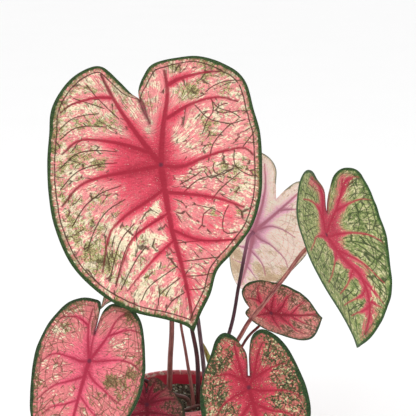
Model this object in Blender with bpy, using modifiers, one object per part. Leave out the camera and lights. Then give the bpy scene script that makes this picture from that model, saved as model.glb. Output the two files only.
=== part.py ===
"""A caladium in a plastic pot.

Ten heart-shaped leaves on slender stalks and one young rolled leaf grow from potting soil.
Metres, +Z up. The origin is the middle of the pot's flat base, and the leaves face -Y.
Each blade is laid out flat in millimetres, with its stalk's junction at (0, 0), the tip
towards -Y and the two lobes towards +Y, and is then bent and turned into its place.
"""
import math

import bmesh
import bpy
import numpy as np
from mathutils import Vector, noise
from mathutils.geometry import delaunay_2d_cdt

MM = 0.001

# Pot
RIM_RADIUS = 0.065
BASE_RADIUS = 0.046
POT_HEIGHT = 0.112
WALL = 0.0016
LIP_HEIGHT = 0.0042
LIP_STEP = 0.0026
FLOOR = 0.0025
DRAIN_RADIUS = 0.004
DRAIN_CIRCLE = 0.028
DRAIN_COUNT = 5
POT_SIDES = 48

# Soil
SOIL_TOP = 0.097
SOIL_BUMP = 0.0022
SOIL_SIDES = 40
SOIL_RINGS = 7

# Fit between pieces
GAP = 0.0003

# Leaves
BLADE_THICKNESS = 0.0008
STALK_DEPTH = 0.016
STALK_SIDES_RESOLUTION = 2
FOLD_SOFTNESS = 12.0
CREASE_WIDTH = 8.0
MARGIN_WAVE_WIDTH = 11.0

COMMON_HEART = ((179, 0.27), (172, 0.44), (164, 0.62), (156, 0.71), (147, 0.74), (135, 0.73), (120, 0.69),
                (104, 0.64), (88, 0.63), (71, 0.65), (57, 0.69), (43, 0.72), (30, 0.76), (19, 0.82),
                (9, 0.89))

# A vein leaves the midrib at a fraction of its length, sets off at one bearing and ends at another.
COMMON_VEINS = ((0.0, 158, 172), (0.0, 128, 140), (0.0, 98, 112), (0.16, 68, 84), (0.36, 46, 66),
                (0.58, 26, 50))

LEAVES = {
    "large": dict(
        junction=(-15.0, -35.0, 368.5), heading=-2, lift=28, roll=8, fold=(8, 8), droop=25, lobe_droop=12,
        sweep=0.0, length=175, tip=(12, -172), point_spacing=15.0, edge_spacing=9.0, bulge=1.6, wave=1.5,
        waves=9,
        left=((172, 46), (170, 72), (165, 84), (161, 103), (157, 125), (150, 130), (138, 130), (124, 126),
              (110, 116), (95, 114), (80, 117), (65, 124), (48, 135), (32, 143), (18, 150), (6, 156),
              (-1, 164)),
        right=((188, 46), (191, 64), (190, 84), (184, 101), (178, 113), (167, 119), (155, 125), (140, 124),
               (127, 121), (112, 109), (98, 105), (80, 103), (64, 107), (48, 112), (32, 115), (21, 121),
               (14, 139), (8, 155)),
        midrib=((0, 0), (1, -29), (3, -67), (8, -102), (11, -130), (12, -160)),
        veins=(((0, 0), (6, 37), (15, 75), (15, 104)), ((12, 49), (39, 60), (66, 62), (86, 53)), ((16, 86),
               (29, 91), (53, 93), (74, 90)), ((0, -1), (22, -5), (51, 2), (84, 4), (94, -5)), ((1, -29),
               (28, -35), (54, -43), (78, -55)), ((3, -67), (24, -79), (44, -84), (66, -85)), ((0, 0),
               (-15, 25), (-35, 63), (-47, 93), (-51, 106)), ((-43, 78), (-61, 79), (-84, 73), (-96, 65)),
               ((-6, 12), (-30, 23), (-56, 31), (-80, 33), (-98, 20)), ((0, -1), (-33, -4), (-62, -7),
               (-84, -14), (-103, -32)), ((1, -25), (-18, -36), (-41, -48), (-59, -64), (-71, -100)),
               ((2, -50), (-21, -61), (-37, -72), (-49, -92), (-59, -114)), ((4, -78), (-16, -92),
               (-34, -108), (-49, -122)))),
    "lower_left": dict(
        junction=(-87.4, -80.0, 175.4), heading=-12, lift=25, roll=-12, fold=(8, 8), droop=20, lobe_droop=0,
        sweep=0.0, length=105, tip=(0, -108), point_spacing=12.0, edge_spacing=8.0, bulge=1.2, wave=1.2,
        waves=7,
        left=((173, 28), (175, 48), (174, 60), (167, 63), (156, 65), (143, 64), (130, 60), (112, 57),
              (92, 56), (75, 57), (60, 61), (46, 69), (34, 79), (22, 90), (9, 101)),
        right=((187, 28), (184, 42), (180, 55), (173, 63), (159, 68), (143, 67), (125, 62), (108, 60),
               (94, 62), (78, 66), (64, 69), (50, 73), (36, 80), (23, 90), (10, 101))),
    "lower_middle": dict(
        junction=(73.9, -80.0, 146.8), heading=8, lift=25, roll=12, fold=(8, 8), droop=20, lobe_droop=0,
        sweep=0.0, length=105, tip=(0, -105), point_spacing=12.0, edge_spacing=8.0, bulge=1.2, wave=1.2,
        waves=7,
        left=((192, 12), (192, 33), (185, 44), (179, 54), (170, 61), (160, 59), (147, 52), (132, 49),
              (116, 49), (100, 51), (83, 55), (66, 61), (50, 68), (35, 77), (21, 88), (9, 98)),
        right=((160, 12), (164, 34), (161, 52), (152, 61), (138, 60), (122, 57), (106, 55), (90, 55),
               (74, 59), (58, 66), (45, 72), (32, 80), (20, 89), (9, 98))),
    "right": dict(
        junction=(154.8, -20.0, 291.4), heading=63, lift=33, roll=-15, fold=(12, 23), droop=27,
        lobe_droop=-50,
        sweep=0.25, length=123, tip=(-15, -120), point_spacing=12.0, edge_spacing=8.0, bulge=1.2, wave=0.8,
        waves=6,
        left=((203, 27), (188, 49), (169, 61), (152, 78), (140, 92), (131, 90), (118, 78), (101, 78),
              (85, 87), (71, 93), (57, 89), (43, 88), (29, 92), (17, 101), (10, 111)),
        right=((157, 27), (165, 52), (167, 68), (162, 81), (151, 90), (137, 91), (118, 88), (98, 82),
               (79, 83), (61, 83), (47, 89), (33, 96), (20, 104), (8, 114), (-2, 119)),
        midrib=((0, 0), (10, -19), (22, -36), (28, -54), (28, -74), (21, -93), (8, -108))),
    "back": dict(
        junction=(82.6, 55.0, 275.1), heading=145, lift=22, roll=29, fold=(10, 28), droop=-22,
        lobe_droop=-35,
        sweep=0.0, length=130, tip=(-1, -124), point_spacing=13.0, edge_spacing=9.0, bulge=1.1, wave=0.4,
        waves=6,
        left=((172, 53), (170, 70), (167, 84), (160, 92), (150, 91), (138, 83), (124, 74), (108, 66),
              (90, 62), (69, 61), (48, 68), (30, 83), (17, 100), (7, 114)),
        right=((188, 53), (180, 66), (174, 81), (165, 90), (154, 95), (143, 92), (130, 82), (113, 66),
               (90, 55), (60, 53), (35, 62), (20, 77), (12, 97), (6, 112)),
        midrib=((0, 0), (-3, -29), (-4, -59), (-3, -88), (-1, -114))),
    "small": dict(
        junction=(101.3, 32.0, 189.1), heading=42, lift=41, roll=67, fold=(27, 27), droop=4, lobe_droop=-20,
        sweep=0.1, length=72, tip=(0, -72), point_spacing=10.0, edge_spacing=7.0, bulge=0.8, wave=0.5,
        waves=5,
        left=((179, 32), (168, 42), (160, 49), (148, 46), (128, 38), (110, 35), (92, 36), (76, 40),
              (58, 47), (42, 53), (28, 57), (13, 63)),
        right=((181, 32), (171, 39), (163, 47), (154, 48), (144, 46), (132, 42), (118, 39), (100, 36),
               (79, 36), (64, 38), (49, 42), (36, 48), (24, 55), (10, 63))),
    "dark": dict(
        junction=(-30.8, -62.0, 120.8), heading=4, lift=32, roll=0, fold=(10, 10), droop=18, lobe_droop=5,
        sweep=0.0, length=64, tip=(0, -64), point_spacing=9.0, edge_spacing=7.0, bulge=0.7, wave=0.4,
        waves=5,
        left=((180, 13), (176, 23), (168, 29), (156, 30), (142, 29), (126, 28), (110, 30), (95, 33),
              (80, 37), (65, 42), (48, 46), (32, 51), (19, 56), (8, 61)),
        right=((180, 13), (176, 23), (169, 29), (158, 30), (146, 29), (132, 28), (116, 30), (102, 33),
               (87, 38), (70, 42), (52, 46), (35, 51), (20, 56), (8, 61))),
    "peeking": dict(
        junction=(-42.0, 23.2, 235.1), heading=-75, lift=62, roll=0, fold=(9, 9), droop=22, lobe_droop=5,
        sweep=0.0, length=56, tip=(0, -56), point_spacing=9.0, edge_spacing=5.6, bulge=1.0, wave=0.8,
        waves=6),
    "rear_left": dict(
        junction=(-62.0, 78.0, 335.0), heading=205, lift=35, roll=-6, fold=(9, 9), droop=26, lobe_droop=6,
        sweep=0.0, length=92, tip=(0, -92), point_spacing=14.0, edge_spacing=9.0, bulge=1.0, wave=0.9,
        waves=6),
    "rear_top": dict(
        junction=(16.0, 92.0, 380.0), heading=172, lift=33, roll=5, fold=(9, 9), droop=24, lobe_droop=8,
        sweep=0.0, length=102, tip=(0, -102), point_spacing=14.0, edge_spacing=9.0, bulge=1.0, wave=0.9,
        waves=7),
}

# Each stalk: where it leaves the soil, the points it passes, and its radius at both ends (mm).
STALKS = {
    "large": dict(foot=(-9, -14), route=((-8, -9, 149), (-6, -7, 190), (-7, -10, 280)), radii=(3.3, 2.3)),
    "lower_left": dict(foot=(12, -8), route=((-7, -25, 119), (-52, -50, 152)), radii=(2.6, 1.9)),
    "lower_middle": dict(foot=(34, -20), route=((47, -42, 121),), radii=(2.6, 1.9)),
    "right": dict(foot=(35, 1), route=((69, -14, 183), (89, -22, 215), (113, -26, 249), (130, -27, 274)),
                  radii=(3.0, 2.2)),
    "back": dict(foot=(25, 3), route=((55, 15, 171), (66, 28, 223), (73, 38, 258)), radii=(2.8, 1.9)),
    "small": dict(foot=(41, -9), route=((70, 8, 161), (88, 22, 178)), radii=(2.2, 1.5)),
    "dark": dict(foot=(25, -19), route=((6, -36, 104), (-17, -48, 114)), radii=(2.2, 1.6), approach=6.0),
    "peeking": dict(foot=(17, -20), route=((10, -8, 150), (4, 0, 183), (1, 5, 202), (-16, 12, 215)),
                    radii=(2.3, 1.4)),
    "rear_left": dict(foot=(22, -8), route=((21, 0, 147), (15, 10, 179), (12, 15, 196), (-34, 55, 290)),
                      radii=(2.9, 1.8)),
    "rear_top": dict(foot=(31, -9), route=((27, 5, 145), (22, 14, 186), (19, 20, 208), (17, 62, 320)),
                     radii=(2.7, 1.9)),
}
YOUNG_LEAF = dict(foot=(39, 24), route=((36, 23, 130), (31.5, 22, 145)), end=(26.5, 20, 160))

BLADE_COLOURS = {
    "large": (0.80, 0.22, 0.28), "lower_left": (0.78, 0.20, 0.28), "lower_middle": (0.58, 0.16, 0.20),
    "right": (0.34, 0.46, 0.22), "back": (0.84, 0.70, 0.60), "small": (0.42, 0.14, 0.14),
    "dark": (0.26, 0.05, 0.08), "peeking": (0.55, 0.28, 0.26), "rear_left": (0.52, 0.30, 0.24),
    "rear_top": (0.60, 0.32, 0.28),
}
STALK_COLOURS = {
    "large": (0.42, 0.20, 0.17), "lower_left": (0.25, 0.06, 0.06), "lower_middle": (0.30, 0.10, 0.10),
    "right": (0.45, 0.20, 0.17), "back": (0.10, 0.05, 0.07), "small": (0.22, 0.06, 0.06),
    "dark": (0.22, 0.14, 0.16), "peeking": (0.40, 0.20, 0.18), "rear_left": (0.14, 0.03, 0.04),
    "rear_top": (0.24, 0.15, 0.16),
}


def clear_scene():
    for thing in list(bpy.data.objects):
        bpy.data.objects.remove(thing, do_unlink=True)


def make_collection(name):
    collection = bpy.data.collections.new(name)
    bpy.context.scene.collection.children.link(collection)
    return collection


def make_material(name, colour, roughness, metallic=0.0):
    material = bpy.data.materials.new(name)
    material.use_nodes = True
    shader = material.node_tree.nodes["Principled BSDF"]
    shader.inputs["Base Color"].default_value = (*colour, 1.0)
    shader.inputs["Roughness"].default_value = roughness
    shader.inputs["Metallic"].default_value = metallic
    material.diffuse_color = (*colour, 1.0)
    return material


def add_object(name, data, collection, material=None):
    thing = bpy.data.objects.new(name, data)
    collection.objects.link(thing)
    if material is not None:
        data.materials.append(material)
    return thing


def smooth_through(points, samples_each):
    """A smooth open curve through the points, with the same number of samples on each stretch."""
    points = [np.asarray(point, float) for point in points]
    padded = [2 * points[0] - points[1]] + points + [2 * points[-1] - points[-2]]
    curve = [points[0]]
    for a, b, c, d in zip(padded, padded[1:], padded[2:], padded[3:]):
        for step in range(1, samples_each + 1):
            u = step / samples_each
            curve.append(0.5 * (2 * b + (c - a) * u + (2 * a - 5 * b + 4 * c - d) * u ** 2
                                + (3 * b - a - 3 * c + d) * u ** 3))
    return np.array(curve)


def spaced(curve, spacing):
    """The curve's points again, at equal steps of about the given spacing."""
    steps = np.linalg.norm(np.diff(curve, axis=0), axis=1)
    along = np.concatenate([[0.0], np.cumsum(steps)])
    count = max(2, round(along[-1] / spacing))
    wanted = np.linspace(0.0, along[-1], count + 1)
    return np.stack([np.interp(wanted, along, curve[:, axis]) for axis in range(curve.shape[1])], axis=1)


def flat_point(bearing, reach, side):
    """A point of the flat blade: bearing in degrees from the tip's direction, to the left or right side."""
    angle = math.radians(bearing)
    return (side * reach * math.sin(angle), -reach * math.cos(angle))


def outline_side(leaf, side):
    """One margin of the blade from the notch between the lobes to the tip."""
    own = leaf.get("left" if side < 0 else "right")
    points = own or [(bearing, share * leaf["length"]) for bearing, share in COMMON_HEART]
    curve = [flat_point(bearing, reach, side) for bearing, reach in points]
    return smooth_through(curve + [leaf["tip"]], 8)


def blade_outline(leaf, spacing):
    left = spaced(outline_side(leaf, -1), spacing)
    right = spaced(outline_side(leaf, 1), spacing)
    join = [left[0]] if np.allclose(left[0], right[0], atol=0.5) else [left[0], right[0]]
    return np.array(list(reversed(left[1:])) + join + list(right[1:-1]))


def midrib(leaf):
    points = leaf.get("midrib", ((0, 0), (0, -0.5 * leaf["length"]), (0, -0.93 * leaf["length"])))
    return smooth_through(points, 8)


def inside(outline, point):
    x, y = point
    hit = False
    previous = outline[-1]
    for corner in outline:
        if (corner[1] > y) != (previous[1] > y):
            crossing = (previous[0] - corner[0]) * (y - corner[1]) / (previous[1] - corner[1]) + corner[0]
            hit = hit != (x < crossing)
        previous = corner
    return hit


def margin_reach(leaf, bearing, side):
    """How far the margin lies from the junction at a bearing of one side."""
    points = outline_side(leaf, side)
    bearings = np.degrees(np.arctan2(side * points[:, 0], -points[:, 1]))
    nearest = int(np.argmin(np.abs(bearings - bearing)))
    return float(np.hypot(*points[nearest]))


def common_vein(leaf, start, end_bearing, leaving_bearing, side):
    spine = midrib(leaf)
    first = spine[int(start * (len(spine) - 1))]
    end = np.array(flat_point(end_bearing, 0.91 * margin_reach(leaf, end_bearing, side), side))
    leaving = np.array(flat_point(leaving_bearing, 1.0, side))
    bend = first + leaving * 0.5 * np.linalg.norm(end - first)
    return np.array([(1 - u) ** 2 * first + 2 * u * (1 - u) * bend + u ** 2 * end
                     for u in np.linspace(0, 1, 12)])


def blade_veins(leaf):
    """The main veins as curves in the flat blade, the midrib first."""
    veins = [midrib(leaf)]
    if "veins" in leaf:
        veins += [smooth_through(points, 6) for points in leaf["veins"]]
    else:
        veins += [common_vein(leaf, *vein, side) for side in (-1, 1) for vein in COMMON_VEINS]
    return veins


def distance_to(points, curves):
    """Distance from each point to the nearest of the curves."""
    best = np.full(len(points), 1e9)
    for curve in curves:
        for a, b in zip(curve[:-1], curve[1:]):
            step = b - a
            u = np.clip(((points - a) @ step) / max(float(step @ step), 1e-9), 0.0, 1.0)
            best = np.minimum(best, np.linalg.norm(points - (a + u[:, None] * step), axis=1))
    return best


def blade_relief(leaf, flat):
    """The height of the blade's surface above its smooth shape: sunken veins and a waved margin."""
    outline = blade_outline(leaf, leaf["edge_spacing"])
    from_vein = distance_to(flat, blade_veins(leaf))
    from_margin = distance_to(flat, [np.vstack([outline, outline[:1]])])
    panel = leaf["bulge"] * (1.0 - np.exp(-(from_vein / CREASE_WIDTH) ** 2))
    bearing = np.arctan2(flat[:, 0], -flat[:, 1])
    wave = leaf["wave"] * np.sin(leaf["waves"] * bearing + leaf["length"])
    away = np.clip(np.hypot(flat[:, 0], flat[:, 1]) / (0.5 * leaf["length"]), 0.0, 1.0) ** 2
    return panel + wave * np.exp(-(from_margin / MARGIN_WAVE_WIDTH) ** 2) * away


def blade_axes(leaf):
    """The blade's own directions: to its right, towards its lobes, and out of its upper face."""
    heading, lift, roll = (math.radians(leaf[key]) for key in ("heading", "lift", "roll"))
    across = np.array([math.cos(heading), math.sin(heading), 0.0])
    up = np.array([-math.sin(heading) * math.sin(lift), math.cos(heading) * math.sin(lift), math.cos(lift)])
    normal = np.cross(across, up)
    right = across * math.cos(roll) + up * math.sin(roll)
    lobes = up * math.cos(roll) - across * math.sin(roll)
    return right, lobes, normal


def arc(distance, degrees, length):
    """Where a strip that turns through some degrees over a length has got to: along, down, and its turn."""
    rate = math.radians(degrees) / length
    if abs(rate) < 1e-9:
        return distance, 0 * distance, 0 * distance
    turn = distance * rate
    return np.sin(turn) / rate, (1 - np.cos(turn)) / rate, turn


def blade_points(leaf, flat, height):
    """Flat blade points and their height (mm), folded on the midrib, drooped and set in place (metres)."""
    x, y = flat[:, 0], flat[:, 1]
    fold = np.radians(np.where(x < 0, leaf["fold"][0], leaf["fold"][1]))
    rounded = np.sqrt(x * x + FOLD_SOFTNESS ** 2) - FOLD_SOFTNESS
    across = np.sign(x) * (np.abs(x) - rounded * (1 - np.cos(fold)))
    out = rounded * np.sin(fold) + height
    to_tip = y < 0
    tip_along, tip_down, tip_turn = arc(np.maximum(-y, 0), leaf["droop"], leaf["length"])
    lobe_along, lobe_down, lobe_turn = arc(np.maximum(y, 0), leaf["lobe_droop"], 0.6 * leaf["length"])
    along = np.where(to_tip, -tip_along, lobe_along)
    down = np.where(to_tip, tip_down, lobe_down)
    turn = np.where(to_tip, -tip_turn, lobe_turn)
    up_distance = along + np.sin(turn) * out
    out_distance = np.cos(turn) * out - down
    sideways = across + leaf["sweep"] * np.where(to_tip, (y / leaf["length"]) ** 2, 0.0) * leaf["length"]
    right, lobes, normal = blade_axes(leaf)
    placed = np.asarray(leaf["junction"]) + np.outer(sideways, right)
    return (placed + np.outer(up_distance, lobes) + np.outer(out_distance, normal)) * MM


def blade_layout(leaf):
    """Flat points and triangles that follow the margin and the main veins."""
    outline = blade_outline(leaf, leaf["edge_spacing"])
    spacing = leaf["point_spacing"]
    points = [tuple(point) for point in outline]
    border = list(range(len(points)))
    edges = []
    closed = np.vstack([outline, outline[:1]])
    lines = [spaced(vein, spacing) for vein in blade_veins(leaf)]
    for line in lines:
        kept = [point for point in line if inside(outline, point)]
        clear = distance_to(np.array(kept), [closed]) > 0.35 * spacing
        kept = [point for point, is_clear in zip(kept, clear) if is_clear]
        first = len(points)
        points += [tuple(point) for point in kept]
        edges += [(first + n, first + n + 1) for n in range(len(kept) - 1)]
    low, high = outline.min(axis=0), outline.max(axis=0)
    rows = int((high[1] - low[1]) / (spacing * 0.866)) + 1
    columns = int((high[0] - low[0]) / spacing) + 2
    grid = np.array([(low[0] + (column + 0.5 * (row % 2)) * spacing, low[1] + row * spacing * 0.866)
                     for row in range(rows) for column in range(columns)])
    clear = (distance_to(grid, [closed]) > 0.55 * spacing) & (distance_to(grid, lines) > 0.55 * spacing)
    points += [tuple(point) for point in grid[clear] if inside(outline, point)]
    result = delaunay_2d_cdt([Vector(point) for point in points], edges, [border], 1, 1e-4)
    return np.array([tuple(point) for point in result[0]]), [tuple(face) for face in result[2]]


def make_blade(name, leaf, collection, material):
    flat, faces = blade_layout(leaf)
    placed = blade_points(leaf, flat, blade_relief(leaf, flat))
    mesh = bpy.data.meshes.new(name)
    mesh.from_pydata([tuple(point) for point in placed], [], faces)
    mesh.update()
    normal = blade_axes(leaf)[2]
    facing = sum((face.normal * face.area for face in mesh.polygons), Vector())
    if facing.dot(Vector(normal)) < 0:
        mesh.flip_normals()
    mesh.shade_smooth()
    blade = add_object(name, mesh, collection, material)
    shell = blade.modifiers.new("thickness", "SOLIDIFY")
    shell.thickness = BLADE_THICKNESS
    shell.offset = 0.0
    return blade


def curve_with_ends(points, first_tangent, last_tangent, samples_each):
    """A smooth curve through the points (arrays) with a given direction at each end."""
    tangents = [0.5 * (after - before) for before, after in zip(points, points[2:])]
    first = np.asarray(first_tangent) * np.linalg.norm(points[1] - points[0])
    last = np.asarray(last_tangent) * np.linalg.norm(points[-1] - points[-2])
    tangents = [first] + tangents + [last]
    curve = [points[0]]
    for a, b, leave, arrive in zip(points, points[1:], tangents, tangents[1:]):
        for step in range(1, samples_each + 1):
            u = step / samples_each
            curve.append((2 * u ** 3 - 3 * u ** 2 + 1) * a + (u ** 3 - 2 * u ** 2 + u) * leave
                         + (3 * u ** 2 - 2 * u ** 3) * b + (u ** 3 - u ** 2) * arrive)
    return curve


def stalk_path(leaf, stalk):
    """From inside its hole in the soil, straight up, then over to the back of the blade's junction."""
    normal = blade_axes(leaf)[2]
    junction = np.asarray(leaf["junction"]) * MM
    end = junction - normal * (0.5 * BLADE_THICKNESS + GAP)
    neck = end - normal * 0.0015
    approach = junction - normal * stalk.get("approach", 11.0) * MM
    foot = np.array((stalk["foot"][0] * MM, stalk["foot"][1] * MM, SOIL_TOP + 0.002))
    middle = [np.asarray(point) * MM for point in stalk["route"]]
    rise = curve_with_ends([foot] + middle + [approach, neck], (0, 0, 1), normal, 4)
    bottom = foot - np.array((0, 0, STALK_DEPTH + 0.002))
    return [bottom] + rise + [end]


def make_tube(name, path, radii, collection, material):
    curve = bpy.data.curves.new(name, "CURVE")
    curve.dimensions = "3D"
    curve.bevel_depth = 1.0
    curve.bevel_resolution = STALK_SIDES_RESOLUTION
    curve.use_fill_caps = True
    spline = curve.splines.new("POLY")
    spline.points.add(len(path) - 1)
    for point, place, radius in zip(spline.points, path, radii):
        point.co = (*place, 1.0)
        point.radius = radius
    return add_object(name, curve, collection, material)


def tapered(path, foot_radius, end_radius):
    """Radii along a stalk: widest at the soil, and slightly wider again where it meets the blade."""
    steps = np.linalg.norm(np.diff(np.array(path), axis=0), axis=1)
    along = np.concatenate([[0.0], np.cumsum(steps)]) / steps.sum()
    body = foot_radius + (end_radius - foot_radius) * np.clip(along / 0.6, 0, 1) ** 0.7
    flare = 0.25 * end_radius * np.clip((along - 0.96) / 0.04, 0, 1) ** 2
    return (body + flare) * MM


def pot_profile():
    """Half section of the pot, from the middle of its floor over the rim to the middle of its base."""
    outer_slope = (RIM_RADIUS - LIP_STEP - BASE_RADIUS) / (POT_HEIGHT - LIP_HEIGHT)
    lip_radius = LIP_HEIGHT / 2
    lip_centre = RIM_RADIUS - lip_radius
    inner_rim = RIM_RADIUS - LIP_STEP - WALL - 0.0004
    inner_floor = BASE_RADIUS + outer_slope * FLOOR - WALL
    profile = [(0.0, FLOOR), (inner_floor - 0.002, FLOOR), (inner_floor, FLOOR + 0.002)]
    profile += [(inner_rim, POT_HEIGHT - 0.0016), (inner_rim + 0.0006, POT_HEIGHT - 0.0003)]
    for step in range(7):
        angle = math.radians(90 - 30 * step)
        profile.append((lip_centre + lip_radius * math.cos(angle),
                        POT_HEIGHT - lip_radius + lip_radius * math.sin(angle)))
    under_lip = BASE_RADIUS + outer_slope * (POT_HEIGHT - LIP_HEIGHT)
    profile += [(under_lip, POT_HEIGHT - LIP_HEIGHT - 0.0002), (BASE_RADIUS + outer_slope * 0.0015, 0.0015)]
    profile += [(BASE_RADIUS - 0.0012, 0.0), (0.0, 0.0)]
    return profile


def inner_wall_radius(height):
    """Radius of the pot's inside at a height."""
    points = pot_profile()
    bottom, top = points[2], points[3]
    share = (height - bottom[1]) / (top[1] - bottom[1])
    return bottom[0] + share * (top[0] - bottom[0])


def make_turned(name, profile, sides, collection, material):
    mesh = bpy.data.meshes.new(name)
    mesh.from_pydata([(radius, 0.0, height) for radius, height in profile],
                     [(n, n + 1) for n in range(len(profile) - 1)], [])
    turned = add_object(name, mesh, collection, material)
    screw = turned.modifiers.new("turn", "SCREW")
    screw.steps = sides
    screw.render_steps = sides
    screw.use_merge_vertices = True
    screw.merge_threshold = 0.00005
    screw.use_smooth_shade = True
    return turned


def baked(thing, collection):
    """The object's evaluated shape as a plain mesh object of the same name."""
    name = thing.name
    evaluated = thing.evaluated_get(bpy.context.evaluated_depsgraph_get())
    mesh = bpy.data.meshes.new_from_object(evaluated)
    bpy.data.objects.remove(thing, do_unlink=True)
    mesh.name = name
    result = bpy.data.objects.new(name, mesh)
    collection.objects.link(result)
    return result


def add_cutter(name, cutters, centre, radius, height, sides):
    mesh = bpy.data.meshes.new(name)
    shape = bmesh.new()
    bmesh.ops.create_cone(shape, cap_ends=True, segments=sides, radius1=radius, radius2=radius,
                          depth=height)
    shape.to_mesh(mesh)
    shape.free()
    cutter = add_object(name, mesh, cutters)
    cutter.location = centre
    cutter.hide_render = True
    cutter.display_type = "WIRE"
    return cutter


def cut(thing, cutter):
    hole = thing.modifiers.new("hole", "BOOLEAN")
    hole.operation = "DIFFERENCE"
    hole.solver = "EXACT"
    hole.object = cutter


def make_pot(collection, cutters):
    plastic = make_material("pot_plastic", (0.50, 0.055, 0.075), 0.38)
    pot = make_turned("pot", pot_profile(), POT_SIDES, collection, plastic)
    for hole in range(DRAIN_COUNT):
        angle = 2 * math.pi * (hole + 0.5) / DRAIN_COUNT
        centre = (DRAIN_CIRCLE * math.cos(angle), DRAIN_CIRCLE * math.sin(angle), FLOOR / 2)
        cut(pot, add_cutter("drain_%d" % hole, cutters, centre, DRAIN_RADIUS, 4 * FLOOR, 16))
    return pot


def soil_profile():
    floor_height = FLOOR + GAP
    edge_radius = inner_wall_radius(SOIL_TOP) - GAP * 1.5
    floor_radius = inner_wall_radius(FLOOR + 0.002) - 0.002 - GAP
    top = [(edge_radius * ring / SOIL_RINGS, SOIL_TOP) for ring in range(SOIL_RINGS + 1)]
    side = [(inner_wall_radius(FLOOR + 0.003) - GAP * 1.5, FLOOR + 0.003)]
    return top + side + [(floor_radius, floor_height), (0.0, floor_height)]


def soil_height(x, y):
    """How far the soil's surface stands above its mean level, falling a little towards the pot."""
    edge = inner_wall_radius(SOIL_TOP)
    fade = 1.0 - (math.hypot(x, y) / edge) ** 6
    lumps = noise.noise(Vector((x, y, 0.0)) * 55.0) + 0.6 * noise.noise(Vector((x, y, 0.5)) * 120.0)
    return SOIL_BUMP * lumps * fade


def make_soil(collection, cutters, feet):
    earth = make_material("soil", (0.16, 0.13, 0.08), 0.95)
    soil = baked(make_turned("soil", soil_profile(), SOIL_SIDES, collection, None), collection)
    soil.data.materials.clear()
    soil.data.materials.append(earth)
    for vertex in soil.data.vertices:
        if vertex.co.z > SOIL_TOP - 0.0001:
            vertex.co.z += soil_height(vertex.co.x, vertex.co.y)
    for name, (x, y), radius in feet:
        height = STALK_DEPTH + 0.02
        centre = (x * MM, y * MM, SOIL_TOP - STALK_DEPTH - GAP + height / 2)
        cut(soil, add_cutter("hole_" + name, cutters, centre, radius * MM + GAP * 1.6, height, 12))
    return soil


def make_young_leaf(collection):
    """A young leaf, still rolled into a spear."""
    material = make_material("young_leaf", (0.45, 0.58, 0.16), 0.5)
    foot = np.array((YOUNG_LEAF["foot"][0], YOUNG_LEAF["foot"][1], SOIL_TOP / MM + 2.0)) * MM
    middle = [np.asarray(point) * MM for point in YOUNG_LEAF["route"]]
    end = np.asarray(YOUNG_LEAF["end"]) * MM
    lean = (end - middle[-1]) / np.linalg.norm(end - middle[-1])
    bottom = foot - np.array((0, 0, STALK_DEPTH + 0.002))
    path = [bottom] + curve_with_ends([foot] + middle + [end], (0, 0, 1), lean, 4)
    along = np.linspace(0.0, 1.0, len(path))
    swell = np.interp(along, (0.0, 0.35, 0.5, 0.72, 0.9, 1.0), (2.2, 2.0, 2.2, 3.2, 1.9, 0.5))
    return make_tube("young_leaf", path, swell * MM, collection, material)


def build():
    clear_scene()
    parts = make_collection("caladium")
    cutters = make_collection("cutters")
    make_pot(parts, cutters)
    feet = [(name, stalk["foot"], stalk["radii"][0]) for name, stalk in STALKS.items()]
    feet.append(("young_leaf", YOUNG_LEAF["foot"], 2.2))
    make_soil(parts, cutters, feet)
    for name, leaf in LEAVES.items():
        make_blade("blade_" + name, leaf, parts, make_material("blade_" + name, BLADE_COLOURS[name], 0.5))
        stalk = STALKS[name]
        path = stalk_path(leaf, stalk)
        skin = make_material("stalk_" + name, STALK_COLOURS[name], 0.45)
        make_tube("stalk_" + name, path, tapered(path, *stalk["radii"]), parts, skin)
    make_young_leaf(parts)


build()
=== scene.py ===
"""A caladium in a plastic pot: leaves, stalks, soil and pot as they look in the light.

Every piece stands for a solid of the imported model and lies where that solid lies. A blade is
laid out flat in millimetres, with its stalk's junction at (0, 0), the tip towards -Y and the
two lobes towards +Y, and is then bent and turned into its place, so markings on it are given
in the same flat millimetres.
"""

import math
import random

import bpy
import numpy as np
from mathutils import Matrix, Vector, noise
from mathutils.geometry import delaunay_2d_cdt


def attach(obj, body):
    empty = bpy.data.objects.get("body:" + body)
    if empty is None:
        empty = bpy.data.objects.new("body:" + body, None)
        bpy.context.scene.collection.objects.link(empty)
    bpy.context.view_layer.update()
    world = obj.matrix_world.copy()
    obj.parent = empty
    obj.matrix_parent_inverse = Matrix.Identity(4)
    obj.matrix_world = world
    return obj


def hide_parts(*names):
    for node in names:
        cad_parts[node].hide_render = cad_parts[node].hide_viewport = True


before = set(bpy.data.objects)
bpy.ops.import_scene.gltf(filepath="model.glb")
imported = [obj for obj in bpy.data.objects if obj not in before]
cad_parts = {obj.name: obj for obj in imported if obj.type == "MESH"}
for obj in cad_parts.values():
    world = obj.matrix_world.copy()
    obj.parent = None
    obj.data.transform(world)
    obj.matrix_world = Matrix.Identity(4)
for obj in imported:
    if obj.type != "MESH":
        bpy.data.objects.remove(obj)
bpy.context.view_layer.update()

MM = 0.001

# Camera, as far from the plant and as high as the photograph's
CAMERA_PLACE = (0.03250774, -1.3151528, 0.63111493)
CAMERA_PITCH = 13.5
CAMERA_LENS = 36.0 * 1292 / 416

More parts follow.
